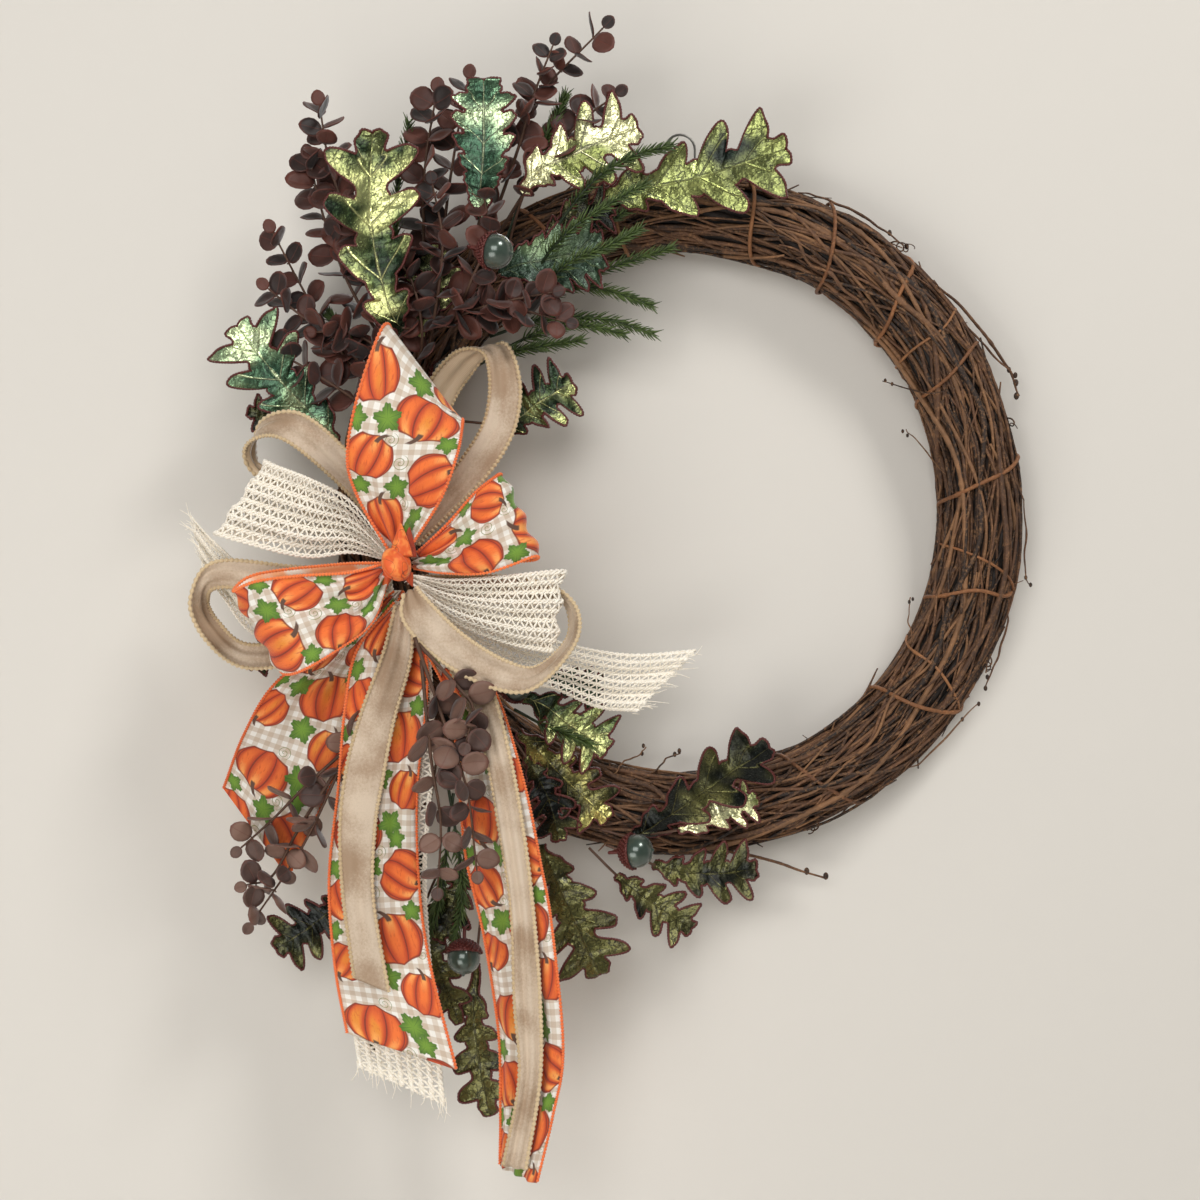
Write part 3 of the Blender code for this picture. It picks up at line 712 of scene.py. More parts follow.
def make_vines(material):
    """The bundle: long vines that wander round the ring, sink into it and come out of it."""
    rng = np.random.default_rng(11)
    for number in range(1, VINE_PIECES + 1):
        parts = Parts()
        for strand in range(STRANDS):
            outer = strand >= INNER_STRANDS
            radius = rng.choice(VINE_RADII, p=VINE_SHARES)
            span = rng.uniform(0.6, 2.6)
            count = int(30 + span * 40)
            start = rng.uniform(0, 2 * math.pi)
            angle = start + np.linspace(0, span, count) * rng.choice([-1, 1])
            section = rng.uniform(-math.pi, math.pi) + np.linspace(0, span, count) * rng.normal(0, 1.5)
            section += wobble(count, rng, 0.30)
            depth = rng.uniform(0.80, 1.02) if outer else rng.uniform(0.55, 0.85)
            distance = BUNDLE_RADIUS * depth + wobble(count, rng, 0.0024)
            distance = np.clip(distance, 0.004, BUNDLE_RADIUS + 0.0016)
            # where the hanging loop stands, the vines stay below the bundle's surface
            by_loop = (from_top(angle) < 0.10) & (from_top(section) < 1.5)
            distance[by_loop] = np.minimum(distance[by_loop], BUNDLE_RADIUS - 0.0035)
            if outer and rng.random() < 0.35 and not by_loop[-9:].any():
                distance[-9:] += np.linspace(0, 1, 9) ** 1.5 * rng.uniform(0.002, 0.007)
            points = press_to_door(on_bundle(angle, section, distance), radius)
            parts.add(*tube(points, vine_radii(points, radius, rng), 6), tone=rng.random())
        vines = parts.build(f"vines_{number}", material)
        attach(vines, "wreath")
        if number == 1:
            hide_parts("vine_bundle")


def make_core(material):
    """Packed vines in the middle of the bundle, coloured near black as painted shade of the bundle's
    depths.
    """
    rng = np.random.default_rng(5)
    parts = Parts()
    strands, count, radius = 26, 150, 0.0034
    for strand in range(strands):
        angle = np.linspace(0, 2 * math.pi, count) + rng.random()
        section = strand / strands * 2 * math.pi + angle + wobble(count, rng, 0.2)
        distance = BUNDLE_RADIUS * 0.66 + wobble(count, rng, 0.002)
        points = press_to_door(on_bundle(angle, section, distance), radius)
        parts.add(*tube(points, radius, 7), tone=rng.random())
    core = parts.build("vine_core", material)
    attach(core, "wreath")


BINDINGS = [
    # ring angles in degrees where each winding vine starts inside and ends outside, and its radius in mm
    (72, 82, 1.5), (57, 65, 1.5), (40, 49, 1.6), (23.6, 29.5, 1.4), (1, 10, 1.6), (-21, -11, 1.5),
    (-44, -33, 1.6), (-69, -57, 1.5), (33, 38, 1.0), (-4, -15, 1.0), (-27, -38, 1.1), (100, 108, 1.5),
    (111, 120, 1.5),
]


def make_bindings(material):
    """Lighter vines wound right round the bundle."""
    rng = np.random.default_rng(23)
    parts = Parts()
    for start, end, radius_mm in BINDINGS:
        count = 64
        radius = radius_mm * 0.85 * MM
        share = np.linspace(0, 1, count)
        section = np.radians(-205 + 410 * share)
        angle = np.radians(start + (end - start) * (share * 1.7 - 0.35)) + wobble(count, rng, 0.02)
        distance = BUNDLE_RADIUS + radius * 0.8 + wobble(count, rng, 0.0008)
        points = press_to_door(on_bundle(angle, section, distance), radius)
        parts.add(*tube(points, vine_radii(points, radius, rng), 8), tone=rng.random())
    vines = parts.build("winding_vines", material)
    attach(vines, "wreath")
    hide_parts(*[f"binding_vine_{n}" for n in range(1, 6)])


STRAYS = [
    # (ring angle, section angle in degrees, lift in mm) along each loose end, then its radius in mm
    ([(44, 70, 1), (38, 80, 4), (31, 88, 7), (24, 94, 12), (19, 98, 14)], 1.1),
    ([(33, 60, 1), (29, 74, 4), (25, 84, 8), (22, 88, 15)], 0.9),
    ([(24, -20, 1), (26, -50, 3), (29, -80, 6), (33, -96, 12)], 0.6),
    ([(8, -60, 1), (12, -80, 4), (17, -92, 10), (20, -98, 12)], 0.6),
    ([(2, 70, 1), (-4, 84, 4), (-9, 92, 7), (-12, 95, 13)], 0.7),
    ([(-86, 40, 1), (-82, 62, 3), (-78, 80, 8), (-73, 90, 20), (-68.5, 94, 37)], 1.1),
    ([(-50, 70, 1), (-46, 84, 4), (-40, 92, 6), (-33, 95, 10)], 0.7),
    ([(-98, -60, 1), (-95, -78, 4), (-93, -88, 9), (-90, -95, 14)], 0.8),
    ([(-104, -50, 1), (-103, -74, 5), (-100, -88, 10), (-98, -94, 15)], 0.7),
    ([(-30, -60, 1), (-27, -80, 4), (-23, -92, 8), (-20, -97, 10)], 0.6),
    ([(70, 60, 1), (64, 78, 3), (57, 88, 5), (50, 92, 6)], 0.9),
    ([(-15, 65, 1), (-19, 80, 3), (-25, 90, 6), (-30, 94, 9)], 0.8),
]


TENDRIL_CURLS = [
    # ring angle in degrees, turns, size in millimetres
    (52, 2.6, 7.0), (16, 1.6, 4.0), (-25, 2.0, 5.0), (-66, 1.8, 4.5),
]
SPLINTERS = 90


def add_stray(parts, stations, radius, rng):
    """A loose vine end with two buds."""
    ends = [on_bundle(math.radians(a), math.radians(s), BUNDLE_RADIUS + lift * MM)
            for a, s, lift in stations]
    points = smooth_path(ends, 9)
    points += np.stack([wobble(len(points), rng, 0.0012) for _ in range(3)], axis=1)
    points = press_to_door(points, 0.001)
    parts.add(*tube(points, vine_radii(points, radius, rng), 6), tone=rng.random())
    for k in range(2):
        tip = points[-1 - 4 * k] + rng.normal(0, 0.0012, 3)
        parts.add(*ball(tip, radius * 1.7, squash=(1, 1, 1.4)), tone=0.2)


def add_curl(parts, ring_angle, turns, size):
    """A tendril coiled like a spring that narrows towards its end."""
    t = np.linspace(0, 1, 60)
    base = on_bundle(ring_angle, math.radians(85), BUNDLE_RADIUS)
    out = np.array([math.cos(ring_angle), 0, math.sin(ring_angle)])
    side = np.array([-out[2], 0, out[0]])
    coil = size * (1 - 0.5 * t)
    sideways = coil * (np.cos(2 * math.pi * turns * t) - 1) * 0.6 - t * size * 1.6
    points = (base + out * (t * size * 1.1)[:, None]
              + out * (coil * np.sin(2 * math.pi * turns * t) * 0.5)[:, None]
              + side * sideways[:, None]
              + np.array([0, -1, 0]) * (0.004 * np.sin(7 * t))[:, None])
    parts.add(*tube(points, 0.0006 * (1 - 0.5 * t), 5), tone=0.3)


def add_splinter(parts, rng):
    """A short sliver of bark standing off the bundle."""
    ring, section = rng.uniform(1.75, 2 * math.pi + 1.35), rng.choice([-1, 1]) * rng.uniform(0.7, 1.75)
    lean, reach = rng.choice([-1, 1]) * rng.uniform(0.3, 1.0), rng.uniform(0.004, 0.012)
    t = np.linspace(0, 1, 7)
    points = on_bundle(ring + lean * reach * t / RING_RADIUS * 1.4, np.full(7, section),
                       BUNDLE_RADIUS - 0.002 + reach * t * (1 - 0.45 * abs(lean)))
    radii = rng.uniform(0.0004, 0.0009) * (1 - 0.4 * t)
    parts.add(*tube(press_to_door(points, 0.001), radii, 5), tone=rng.random())


def make_strays(material):
    """Everything that stands off the bundle."""
    rng = np.random.default_rng(31)
    parts = Parts()
    for stations, radius_mm in STRAYS:
        add_stray(parts, stations, radius_mm * MM, rng)
    for ring_deg, turns, size_mm in TENDRIL_CURLS:
        add_curl(parts, math.radians(ring_deg), turns, size_mm * MM)
    for _ in range(SPLINTERS):
        add_splinter(parts, rng)
    strays = parts.build("loose_vine_ends", material)
    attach(strays, "wreath")
    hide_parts("stray_vine_upper", "stray_vine_lower")


# ---------------------------------------------------------------- ribbons
WIDTHS = {"printed": 0.0635, "open_weave": 0.0635, "velvet": 0.022}
# kind: pleats across the gathered ribbon, height of the ripples along it
FOLDS = {"printed": (3, 0.0011), "open_weave": (3, 0.0009), "velvet": (2, 0.0004)}
RIBBONS = {
    # name: (kind, body, stations), each station the two edges of the ribbon
    "printed_loop_top": ("printed", "wreath", [
        ((-6, 8, 55), (5, 8, 55)), ((-25, 44, 68), (27, 39, 72)), ((-30, 66, 78), (38, 67, 78)),
        ((-23, 103, 82), (41, 85, 76)), ((-9, 147, 68), (39, 89, 62)), ((-6, 139, 50), (34, 82, 48)),
        ((-18, 80, 44), (19, 54, 46)), ((-5, 12, 44), (2, 12, 44))]),
    "printed_loop_right": ("printed", "wreath", [
        ((8, 5, 50), (8, -3, 50)), ((29, 24, 62), (29, -6, 66)), ((47, 43, 70), (56, -6, 74)),
        ((63, 55, 68), (85, 4, 70)), ((63, 53, 54), (83, 2, 54)), ((34, 26, 50), (43, -1, 50)),
        ((8, 3, 47), (8, -3, 47))]),
    "printed_loop_left": ("printed", "wreath", [
        ((-8, 0, 60), (-6, -8, 60)), ((-29, -6, 72), (-15, -37, 74)), ((-59, -8, 84), (-37, -55, 86)),
        ((-86, -12, 86), (-58, -67, 86)), ((-102, -18, 74), (-71, -68, 74)),
        ((-89, -7, 60), (-69, -61, 60)), ((-39, -1, 56), (-33, -29, 58)), ((-8, 0, 56), (-8, -7, 56))]),
    "open_weave_loop_left": ("open_weave", "wreath", [
        ((-8, 9, 50), (-10, 2, 50)), ((-30, 40, 54), (-31, 5, 54)), ((-53, 54, 56), (-62, 2, 54)),
        ((-81, 65, 56), (-113, 15, 54)), ((-78, 64, 46), (-109, 15, 46)),
        ((-37, 38, 47), (-44, 8, 48)), ((-9, 8, 47), (-11, 3, 47))]),
    "open_weave_loop_right": ("open_weave", "wreath", [
        ((8, -7, 56), (8, -14, 56)), ((32, -9, 60), (33, -37, 62)), ((67, -6, 64), (67, -52, 64)),
        ((101, -2, 58), (96, -58, 58)), ((91, -5, 48), (88, -53, 48)), ((37, -9, 46), (37, -33, 46)),
        ((8, -7, 43), (8, -14, 43))]),
    "velvet_loop_right": ("velvet", "wreath", [
        ((4, -19, 68), (12, -15, 68)), ((5, -37, 72), (19, -23, 74)), ((27, -60, 78), (41, -44, 80)),
        ((59, -77, 80), (67, -60, 82)), ((86, -77, 86), (87, -65, 70)),
        ((112, -48, 70), (106, -46, 50)), ((108, -23, 54), (101, -23, 38)),
        ((75, -9, 36), (75, -26, 34)), ((9, -8, 34), (7, -17, 34))]),
    "velvet_loop_left": ("velvet", "wreath", [
        ((-9, -4, 42), (-9, -10, 42)), ((-66, -2, 42), (-66, -20, 42)), ((-118, 1, 46), (-114, -15, 46)),
        ((-134, -23, 48), (-127, -23, 30)), ((-126, -49, 38), (-120, -37, 30)),
        ((-98, -67, 34), (-97, -52, 32)), ((-47, -55, 32), (-47, -40, 32)),
        ((-9, -18, 34), (-9, -11, 34))]),
    "velvet_loop_upper_left": ("velvet", "wreath", [
        ((-8, 12, 38), (-2, 14, 38)), ((-28, 38, 38), (-18, 48, 38)), ((-50, 60, 38), (-37, 74, 40)),
        ((-75, 79, 40), (-66, 96, 38)), ((-92, 80, 40), (-92, 91, 24)), ((-101, 71, 34), (-96, 68, 16)),
        ((-93, 55, 22), (-85, 61, 20)), ((-56, 29, 24), (-49, 37, 24)), ((-10, 6, 26), (-7, 12, 26))]),
    "velvet_loop_upper_right": ("velvet", "wreath", [
        ((3, 14, 32), (9, 12, 32)), ((17, 41, 36), (31, 33, 36)), ((38, 66, 42), (56, 58, 44)),
        ((53, 91, 44), (72, 86, 46)), ((56, 118, 42), (75, 117, 40)), ((50, 136, 38), (64, 142, 28)),
        ((30, 133, 33), (43, 123, 22)), ((11, 100, 28), (26, 91, 23)), ((1, 14, 20), (7, 13, 20))]),
    "printed_tail_left": ("printed", "tail_left", [
        ((-7, -17, 18), (-1, -17, 18)), ((-49, -49, 18), (-22, -55, 18)), ((-85, -78, 20), (-35, -88, 16)),
        ((-104, -110, 22), (-44, -132, 16)), ((-117, -145, 24), (-77, -204, 14))]),
    "printed_tail_middle": ("printed", "tail_middle", [
        ((-4, -24, 44), (5, -24, 44)), ((-28, -55, 44), (15, -55, 44)), ((-36, -93, 44), (16, -87, 44)),
        ((-40, -144, 46), (10, -144, 44)), ((-46, -201, 44), (11, -201, 46)),
        ((-43, -252, 44), (18, -252, 46)), ((-34, -298, 46), (35, -322, 44))]),
    "velvet_tail_middle": ("velvet", "tail_middle", [
        ((-3, -26, 52), (6, -26, 52)), ((-10, -55, 52), (7, -58, 52)), ((-25, -96, 52), (-4, -100, 52)),
        ((-34, -130, 52), (-11, -137, 52)), ((-38, -168, 52), (-16, -168, 52)),
        ((-36, -212, 52), (-17, -212, 52)), ((-29, -262, 52), (-7, -271, 52))]),
    "open_weave_tail_middle": ("open_weave", "tail_middle", [
        ((-3, -25, 37), (4, -25, 37)), ((-18, -55, 37), (18, -55, 37)), ((-33, -119, 37), (22, -119, 37)),
        ((-37, -196, 37), (17, -196, 37)), ((-37, -266, 37), (21, -266, 37)),
        ((-30, -321, 37), (29, -347, 37))]),
    "printed_tail_right": ("printed", "tail_right", [
        ((4, -28, 58), (10, -27, 58)), ((16, -54, 54), (41, -53, 55)), ((31, -89, 50), (63, -86, 62)),
        ((37, -144, 46), (78, -136, 64)), ((41, -188, 46), (88, -186, 64)),
        ((52, -239, 46), (96, -229, 64)), ((61, -296, 46), (102, -304, 64)),
        ((62, -346, 50), (96, -345, 64)), ((62, -380, 54), (86, -388, 64))]),
    "velvet_tail_right": ("velvet", "tail_right", [
        ((6, -31, 66), (13, -28, 66)), ((27, -56, 68), (43, -51, 68)), ((42, -85, 70), (60, -82, 70)),
        ((55, -119, 70), (71, -124, 70)), ((64, -169, 70), (79, -169, 70)),
        ((71, -216, 70), (85, -219, 70)), ((73, -272, 70), (89, -272, 70)),
        ((76, -321, 70), (89, -321, 70)), ((66, -375, 70), (80, -378, 70))]),
    "open_weave_tail_right": ("open_weave", "wreath", [
        ((9, -13, 24), (8, -20, 24)), ((35, -23, 22), (32, -55, 22)), ((74, -39, 20), (64, -81, 20)),
        ((108, -51, 20), (92, -81, 20)), ((148, -57, 20), (123, -94, 20)),
        ((190, -54, 20), (149, -97, 20))]),
    "open_weave_tail_left": ("open_weave", "wreath", [
        ((-8, -9, 26), (-7, -17, 26)), ((-48, -17, 24), (-45, -46, 24)), ((-94, -7, 22), (-93, -49, 22)),
        ((-124, 16, 20), (-117, -23, 20)), ((-138, 31, 20), (-131, -2, 20))]),
}


class Ribbon:
    """The surface of a ribbon: two smooth edges, with pleats where it is gathered at the knot."""

    def __init__(self, name, kind, stations):
        self.width = WIDTHS[kind]
        self.left = smooth_path([laid(a) for a, b in stations], 16)
        self.right = smooth_path([laid(b) for a, b in stations], 16)
        middle = (self.left + self.right) / 2
        step = np.linalg.norm(np.diff(middle, axis=0), axis=1)
        self.length = float(step.sum())
        self.share = np.concatenate([[0], np.cumsum(step)]) / self.length
        self.rng = np.random.default_rng(sum(map(ord, name)))
        self.phase = self.rng.random() * 6
        self.pleats, self.ripple = FOLDS[kind]

    def rows(self, columns, pitch):
        """Grid of points, rows along the ribbon about a pitch apart, columns across it."""
        count = max(8, int(self.length / pitch))
        s = np.linspace(0, 1, count)
        return self.at(np.repeat(s[:, None], columns, 1),
                       np.repeat(np.linspace(0, 1, columns)[None, :], count, 0))

    def at(self, s, u, lift=0.0):
        """Points at shares s along and u across, lifted off the front of the ribbon."""
        def place(line, share):
            return np.stack([np.interp(share, self.share, line[:, k]) for k in range(3)], axis=-1)

        left, right = place(self.left, s), place(self.right, s)
        ahead, behind = np.clip(s + 0.004, 0, 1), np.clip(s - 0.004, 0, 1)
        middle = (self.left + self.right) / 2
        along = place(middle, ahead) - place(middle, behind)
        across = right - left
        drawn = np.linalg.norm(across, axis=-1)
        normal = np.cross(across, along)
        normal /= np.linalg.norm(normal, axis=-1)[..., None] + 1e-12
        point = left + across * u[..., None]
        spare = np.clip(self.width / np.maximum(drawn, 1e-5) - 1, 0, 6)
        pleat = np.minimum(drawn * np.sqrt(spare) / (3.6 * self.pleats), 0.0026)
        wave = np.cos(2 * math.pi * self.pleats * u + self.phase + 1.5 * s)
        calm = np.clip(drawn / self.width, 0, 1)
        ripple = self.ripple * calm * np.sin(s * self.length * 46 + self.phase + 2.2 * u)
        return point + normal * (pleat * wave + ripple + lift)[..., None]


def beaded_edge(ribbon, side, radius, bead):
    """A row of overlocked stitches along one edge of a ribbon: side 0 is its left edge, 1 its right."""
    count = max(24, int(ribbon.length / bead * 5))
    s = np.linspace(0.002, 0.998, count)
    points = ribbon.at(s, np.full(count, float(side)))
    radii = radius * (0.42 + 0.66 * np.abs(np.sin(math.pi * s * ribbon.length / bead)))
    return tube(points, radii, 6)


BRAIDS = 9                      # braided bands across an open-weave ribbon
BRAID_RADIUS, BRAID_PITCH = 0.00102, 0.0060
ZIGZAG_RADIUS, ZIGZAG_PITCH = 0.00085, 0.0056


def knit_ribbon(ribbon):
    """Crochet-look yarn: braided bands along the ribbon, with zigzag yarn between them."""
    parts = Parts()
    count = int(ribbon.length / 0.0010)
    s = np.linspace(0, 1, count)
    metres = s * ribbon.length
    squeeze = np.linalg.norm(ribbon.at(s, np.ones(count)) - ribbon.at(s, np.zeros(count)), axis=1)
    squeeze = np.clip(squeeze / ribbon.width, 0.3, 1.0)
    for band in range(BRAIDS):
        centre = (band + 0.5) / BRAIDS
        for ply in range(2):
            turn = metres * 2 * math.pi / BRAID_PITCH + ply * math.pi + band
            u = centre + np.cos(turn) * 0.17 / BRAIDS
            lift = np.sin(turn) * 0.0007
            radii = BRAID_RADIUS * squeeze * (1 + 0.10 * np.sin(metres * 2600 + band))
            parts.add(*tube(ribbon.at(s, np.clip(u, 0, 1), lift), radii, 6), tone=(band % 3) / 3)
    for gap in range(BRAIDS - 1):
        low, high = (gap + 0.55) / BRAIDS, (gap + 1.45) / BRAIDS
        phase = (metres / ZIGZAG_PITCH + 0.5 * (gap % 2)) % 1.0
        u = low + (high - low) * np.abs(phase * 2 - 1)
        radii = ZIGZAG_RADIUS * squeeze
        parts.add(*tube(ribbon.at(s, u, 0.0002 * np.cos(metres * 900)), radii, 5),
                  tone=0.4 + 0.5 * ((gap % 3) / 3))
    return parts


def fray_end(ribbon, parts, rng, at_end):
    """Loose threads at a ribbon's cut end, or at its end in the knot."""
    for _ in range(26):
        u = rng.uniform(0.0, 1.0)
        start, inner = (1.0, 0.985) if at_end else (0.0, 0.015)
        tip = ribbon.at(np.array(start), np.array(u))
        before = ribbon.at(np.array(inner), np.array(u))
        way = (tip - before) / (np.linalg.norm(tip - before) + 1e-9)
        reach = rng.uniform(0.003, 0.010)
        side = rng.normal(0, 0.35, 3)
        side[1] *= 0.3
        points = [before, tip, tip + (way + side * 0.5) * reach * 0.5, tip + (way + side) * reach]
        path = smooth_path(points, 4)
        parts.add(*tube(path, np.linspace(0.0004, 0.00015, len(path)), 4), tone=rng.random())


def place_ribbon(piece, name, body, replaced):
    """A loop rides on the wreath. A tail, which starts just below the knot, is left on no body."""
    if body == "wreath":
        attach(piece, "wreath")
    else:
        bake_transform(piece)
    if replaced:
        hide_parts(name)


def knitted_pieces(ribbon, name):
    """An open-weave ribbon of yarn, and the loose threads at its end."""
    yarn = knit_ribbon(ribbon).build(f"{name}_yarn", LOOK["cotton"])
    fringe = Parts()
    fray_end(ribbon, fringe, ribbon.rng, at_end="tail" in name)
    return yarn, fringe.build(f"{name}_fray", LOOK["cotton"])


CLOTHS = {
    # kind: columns, row pitch and thickness of the sheet, radius and pitch of the edge stitches, looks
    "printed": (25, 0.0022, 0.0005, 0.0012, 0.0019, "printed", "print_back", "orange_trim"),
    "velvet": (11, 0.0020, 0.0009, 0.0015, 0.0030, "velvet", "satin", "velvet_trim"),
}


def woven_pieces(ribbon, name, kind):
    """A cloth ribbon, printed or napped on the side that faces the room, and its two stitched edges."""
    columns, pitch, thickness, stitch_radius, stitch_pitch, face, back, edge = CLOTHS[kind]
    grid = ribbon.rows(columns, pitch)
    verts, faces, front = sheet_solid(grid, thickness)
    parts = Parts()
    parts.add(verts, faces)
    middle = grid[:, columns // 2]
    facing = np.cross(grid[2:, -1] - grid[2:, 0], middle[2:] - middle[:-2])[:, 1].sum() < 0
    parts.slots = [int((k < front) != facing) for k in range(len(faces))]
    cloth = parts.build(f"{name}_cloth", LOOK[face], LOOK[back])
    set_uv(cloth.data, "ribbon", across_and_along(
        np.linspace(0, ribbon.width / MM, columns), np.linspace(0, ribbon.length / MM, len(grid))))
    edging = Parts()
    for side in (0, 1):
        stitches = beaded_edge(ribbon, side, stitch_radius, stitch_pitch)
        edging.add(*stitches, tone=ribbon.rng.random())
    return cloth, edging.build(f"{name}_edge", LOOK[edge])


def make_ribbons():
    for name, (kind, body, stations) in RIBBONS.items():
        ribbon = Ribbon(name, kind, stations)
        knitted = kind == "open_weave"
        main, trim = knitted_pieces(ribbon, name) if knitted else woven_pieces(ribbon, name, kind)
        place_ribbon(main, name, body, True)
        place_ribbon(trim, name, body, False)


KNOT_FOLDS = [
    # base and tip of each pointed fold round the knot, radius at the base in mm, flatness and tone; a low
    # tone gives the fold painted shade
    ((2, 4, 66), (2, 25, 67), 7.4, 0.42, 0.6),
    ((6, 4, 62), (7, 23, 63), 5.6, 0.40, 0.0),
    ((-6, -6, 62), (-10, -19, 62), 3.8, 0.6, 0.3),
    ((6, -7, 62), (9, -15, 63), 3.4, 0.6, 0.2),
]


def make_knot():
    """The gathered knot: a band folded slantwise over the middle, and pointed folds standing out of it."""
    size = (Vector(KNOT_HIGH) - Vector(KNOT_LOW)) / 2
    parts = Parts()
    verts, faces = ball((0, 0, 0), 1.0, 36, 64)
    turn = np.arctan2(verts[:, 1], verts[:, 0])
    width = np.sqrt(np.clip(1 - verts[:, 2] ** 2, 0, 1))
    fold = 0.84 + 0.26 * np.abs(np.sin(2.5 * turn + 0.8 + 0.5 * verts[:, 2])) ** 1.2 * width
    verts[:, 0] *= fold * size.x * 0.86
    verts[:, 1] *= fold * size.y * 1.05
    verts[:, 2] *= size.z * 0.80
    slant = np.array(Euler((0, math.radians(-32), 0)).to_matrix())
    parts.add(verts @ slant.T + np.array(KNOT) - np.array([0.001, 0, 0.001]), faces, tone=0.8)
    for base, tip, width, depth, tone in KNOT_FOLDS:
        start, end = np.array(laid(base)), np.array(laid(tip))
        points = [start + (end - start) * t for t in np.linspace(0, 1, 16)]
        taper = width * MM * (1 - np.linspace(0, 1, 16) ** 1.25 * 0.95)
        verts, faces = tube(points, taper, 20)
        verts[:, 1] = start[1] + (verts[:, 1] - start[1]) * depth \
            - 0.0022 * np.clip(1 - np.abs(verts[:, 0] - start[0] + 0.001) / 0.004, 0, 1)
        parts.add(verts, faces, tone=tone)
    knot = parts.build("knot_of_printed_ribbon", LOOK["knot"])
    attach(knot, "wreath")
    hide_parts("bow_knot")


# ---------------------------------------------------------------- foliage
def spine_frames(points, steps, roll=0.0):
    """Points of a stem with the direction along it, across it and up from its face."""
    spine = smooth_path([laid(p) for p in points], steps)
    along = np.gradient(spine, axis=0)
    along /= np.linalg.norm(along, axis=1)[:, None]
    across = np.cross(along, np.array([0.0, -1.0, 0.0]))
    across /= np.linalg.norm(across, axis=1)[:, None]
    up = np.cross(across, along)
    c, s = math.cos(math.radians(roll)), math.sin(math.radians(roll))
    return spine, along, across * c + up * s, up * c - across * s


def sample(values, place):
    """Value at a share along a list of points."""
    count = len(values) - 1
    return np.stack([np.interp(place * count, np.arange(count + 1), values[:, k]) for k in range(3)],
                    axis=-1)


def sample_beyond(values, place):
    """Position at a share along a list of points, carried straight on past its end."""
    over = np.clip(place - 1, 0, None)
    ahead = (values[-1] - values[-4]) / 3 * (len(values) - 1)
    return sample(values, np.clip(place, 0, 1)) + over[..., None] * ahead


# number of lobes, half width of the blade between them, and the share of the edge the lobes take
DEEP_LOBES = (4.8, 0.36, 0.66)
SHALLOW_LOBES = (7.0, 0.60, 0.80)


def oak_half_width(s, shape, phase):
    """Half width of an oak leaf at shares along it: blunt fingers off a narrow blade, and a round tip."""
    lobes, blade, duty = shape
    neck = np.interp(s, [0, 0.12, 0.45, 0.80, 1], [0.10, 0.6 * blade, blade, 0.9 * blade, 0.8 * blade])
    reach = np.interp(s, [0, 0.10, 0.30, 0.54, 0.78, 0.86, 1], [0.14, 0.34, 0.62, 0.94, 0.96, 0.60, 0.30])
    offset = 0.5 - (0.79 * lobes) % 1.0 + phase
    place = (lobes * s + offset) % 1.0
    pulse = np.sqrt(np.clip(1 - (np.abs(2 * place - 1) / duty) ** 2.4, 0, 1))
    pulse *= s < 0.79 + 0.5 / lobes
    end = np.sqrt(np.clip(1 - np.clip((s - 0.93) / 0.07, 0, 1) ** 2, 0.01, 1))
    waves = 0.03 * np.sin(2 * math.pi * (2.3 * lobes * s + 5 * phase))
    return (neck + pulse * np.clip(reach - neck, 0, 1) + waves) * end


LEAF_STEM = 0.28                # share of an oak leaf's length that is its wire stem
LEAF_ROWS, LEAF_COLUMNS = 150, 21
RIM_BEAD, RIM_PITCH = 0.0009, 0.0019


def crinkles(grid, shares, seed):
    """How far each point of a leaf stands off its smooth surface: dents of three sizes."""
    dents = [(1.0, 0.0024), (2.7, 0.0011), (6.1, 0.0004)]
    height = np.empty(grid.shape[:2])
    for i, k in np.ndindex(height.shape):
        place = Vector(grid[i, k] * 60) + Vector((seed, shares[i] * 2, 0))
        height[i, k] = sum(noise.noise(place * scale) * size for scale, size in dents)
    return height


def oak_surface(spine, across, up, width, shape, rng):
    """Grid of a keeled and crinkled oak leaf, with its shares across and along."""
    s = np.linspace(0, 1, LEAF_ROWS)
    u = np.sin(np.linspace(-1, 1, LEAF_COLUMNS) * math.pi / 2)
    left, right = (oak_half_width(s, shape, rng.uniform(-0.08, 0.08)) * width / 2 for _ in range(2))
    offset = np.abs(u)[None, :] * np.where(u[None, :] < 0, left[:, None], right[:, None])
    length = np.linalg.norm(np.diff(spine, axis=0), axis=1).sum() * (1 - LEAF_STEM)
    sweep = 0.62 * offset / length * (1 - LEAF_STEM) * (0.55 + 0.45 * s)[:, None]
    forward = (LEAF_STEM + (1 - LEAF_STEM) * s)[:, None] + sweep
    grid = sample_beyond(spine, forward)
    side = sample(across, np.clip(forward, 0, 1))
    face = sample(up, np.clip(forward, 0, 1))
    keel = 0.20 * offset - 0.45 * offset ** 2 / width
    seed = rng.uniform(0, 50)
    curl = 0.05 * width * np.sin(s * 9 + seed)[:, None] * np.abs(u)[None, :] ** 2
    lift = crinkles(grid, s, seed) - keel + curl
    return grid + side * (np.sign(u)[None, :] * offset)[..., None] + face * lift[..., None], u, s


def beaded_rim(grid):
    """A beaded thread round the outline of a leaf's grid."""
    rim = np.concatenate([grid[:, 0], grid[-1, 1:-1], grid[::-1, -1], grid[:1, LEAF_COLUMNS // 2]])
    step = np.concatenate([[0], np.cumsum(np.linalg.norm(np.diff(rim, axis=0), axis=1))])
    t = np.linspace(0, step[-1], int(step[-1] / 0.0006))
    path = np.stack([np.interp(t, step, rim[:, k]) for k in range(3)], axis=1)
    return tube(path, RIM_BEAD * (0.66 + 0.5 * np.abs(np.sin(math.pi * t / RIM_PITCH))), 5)


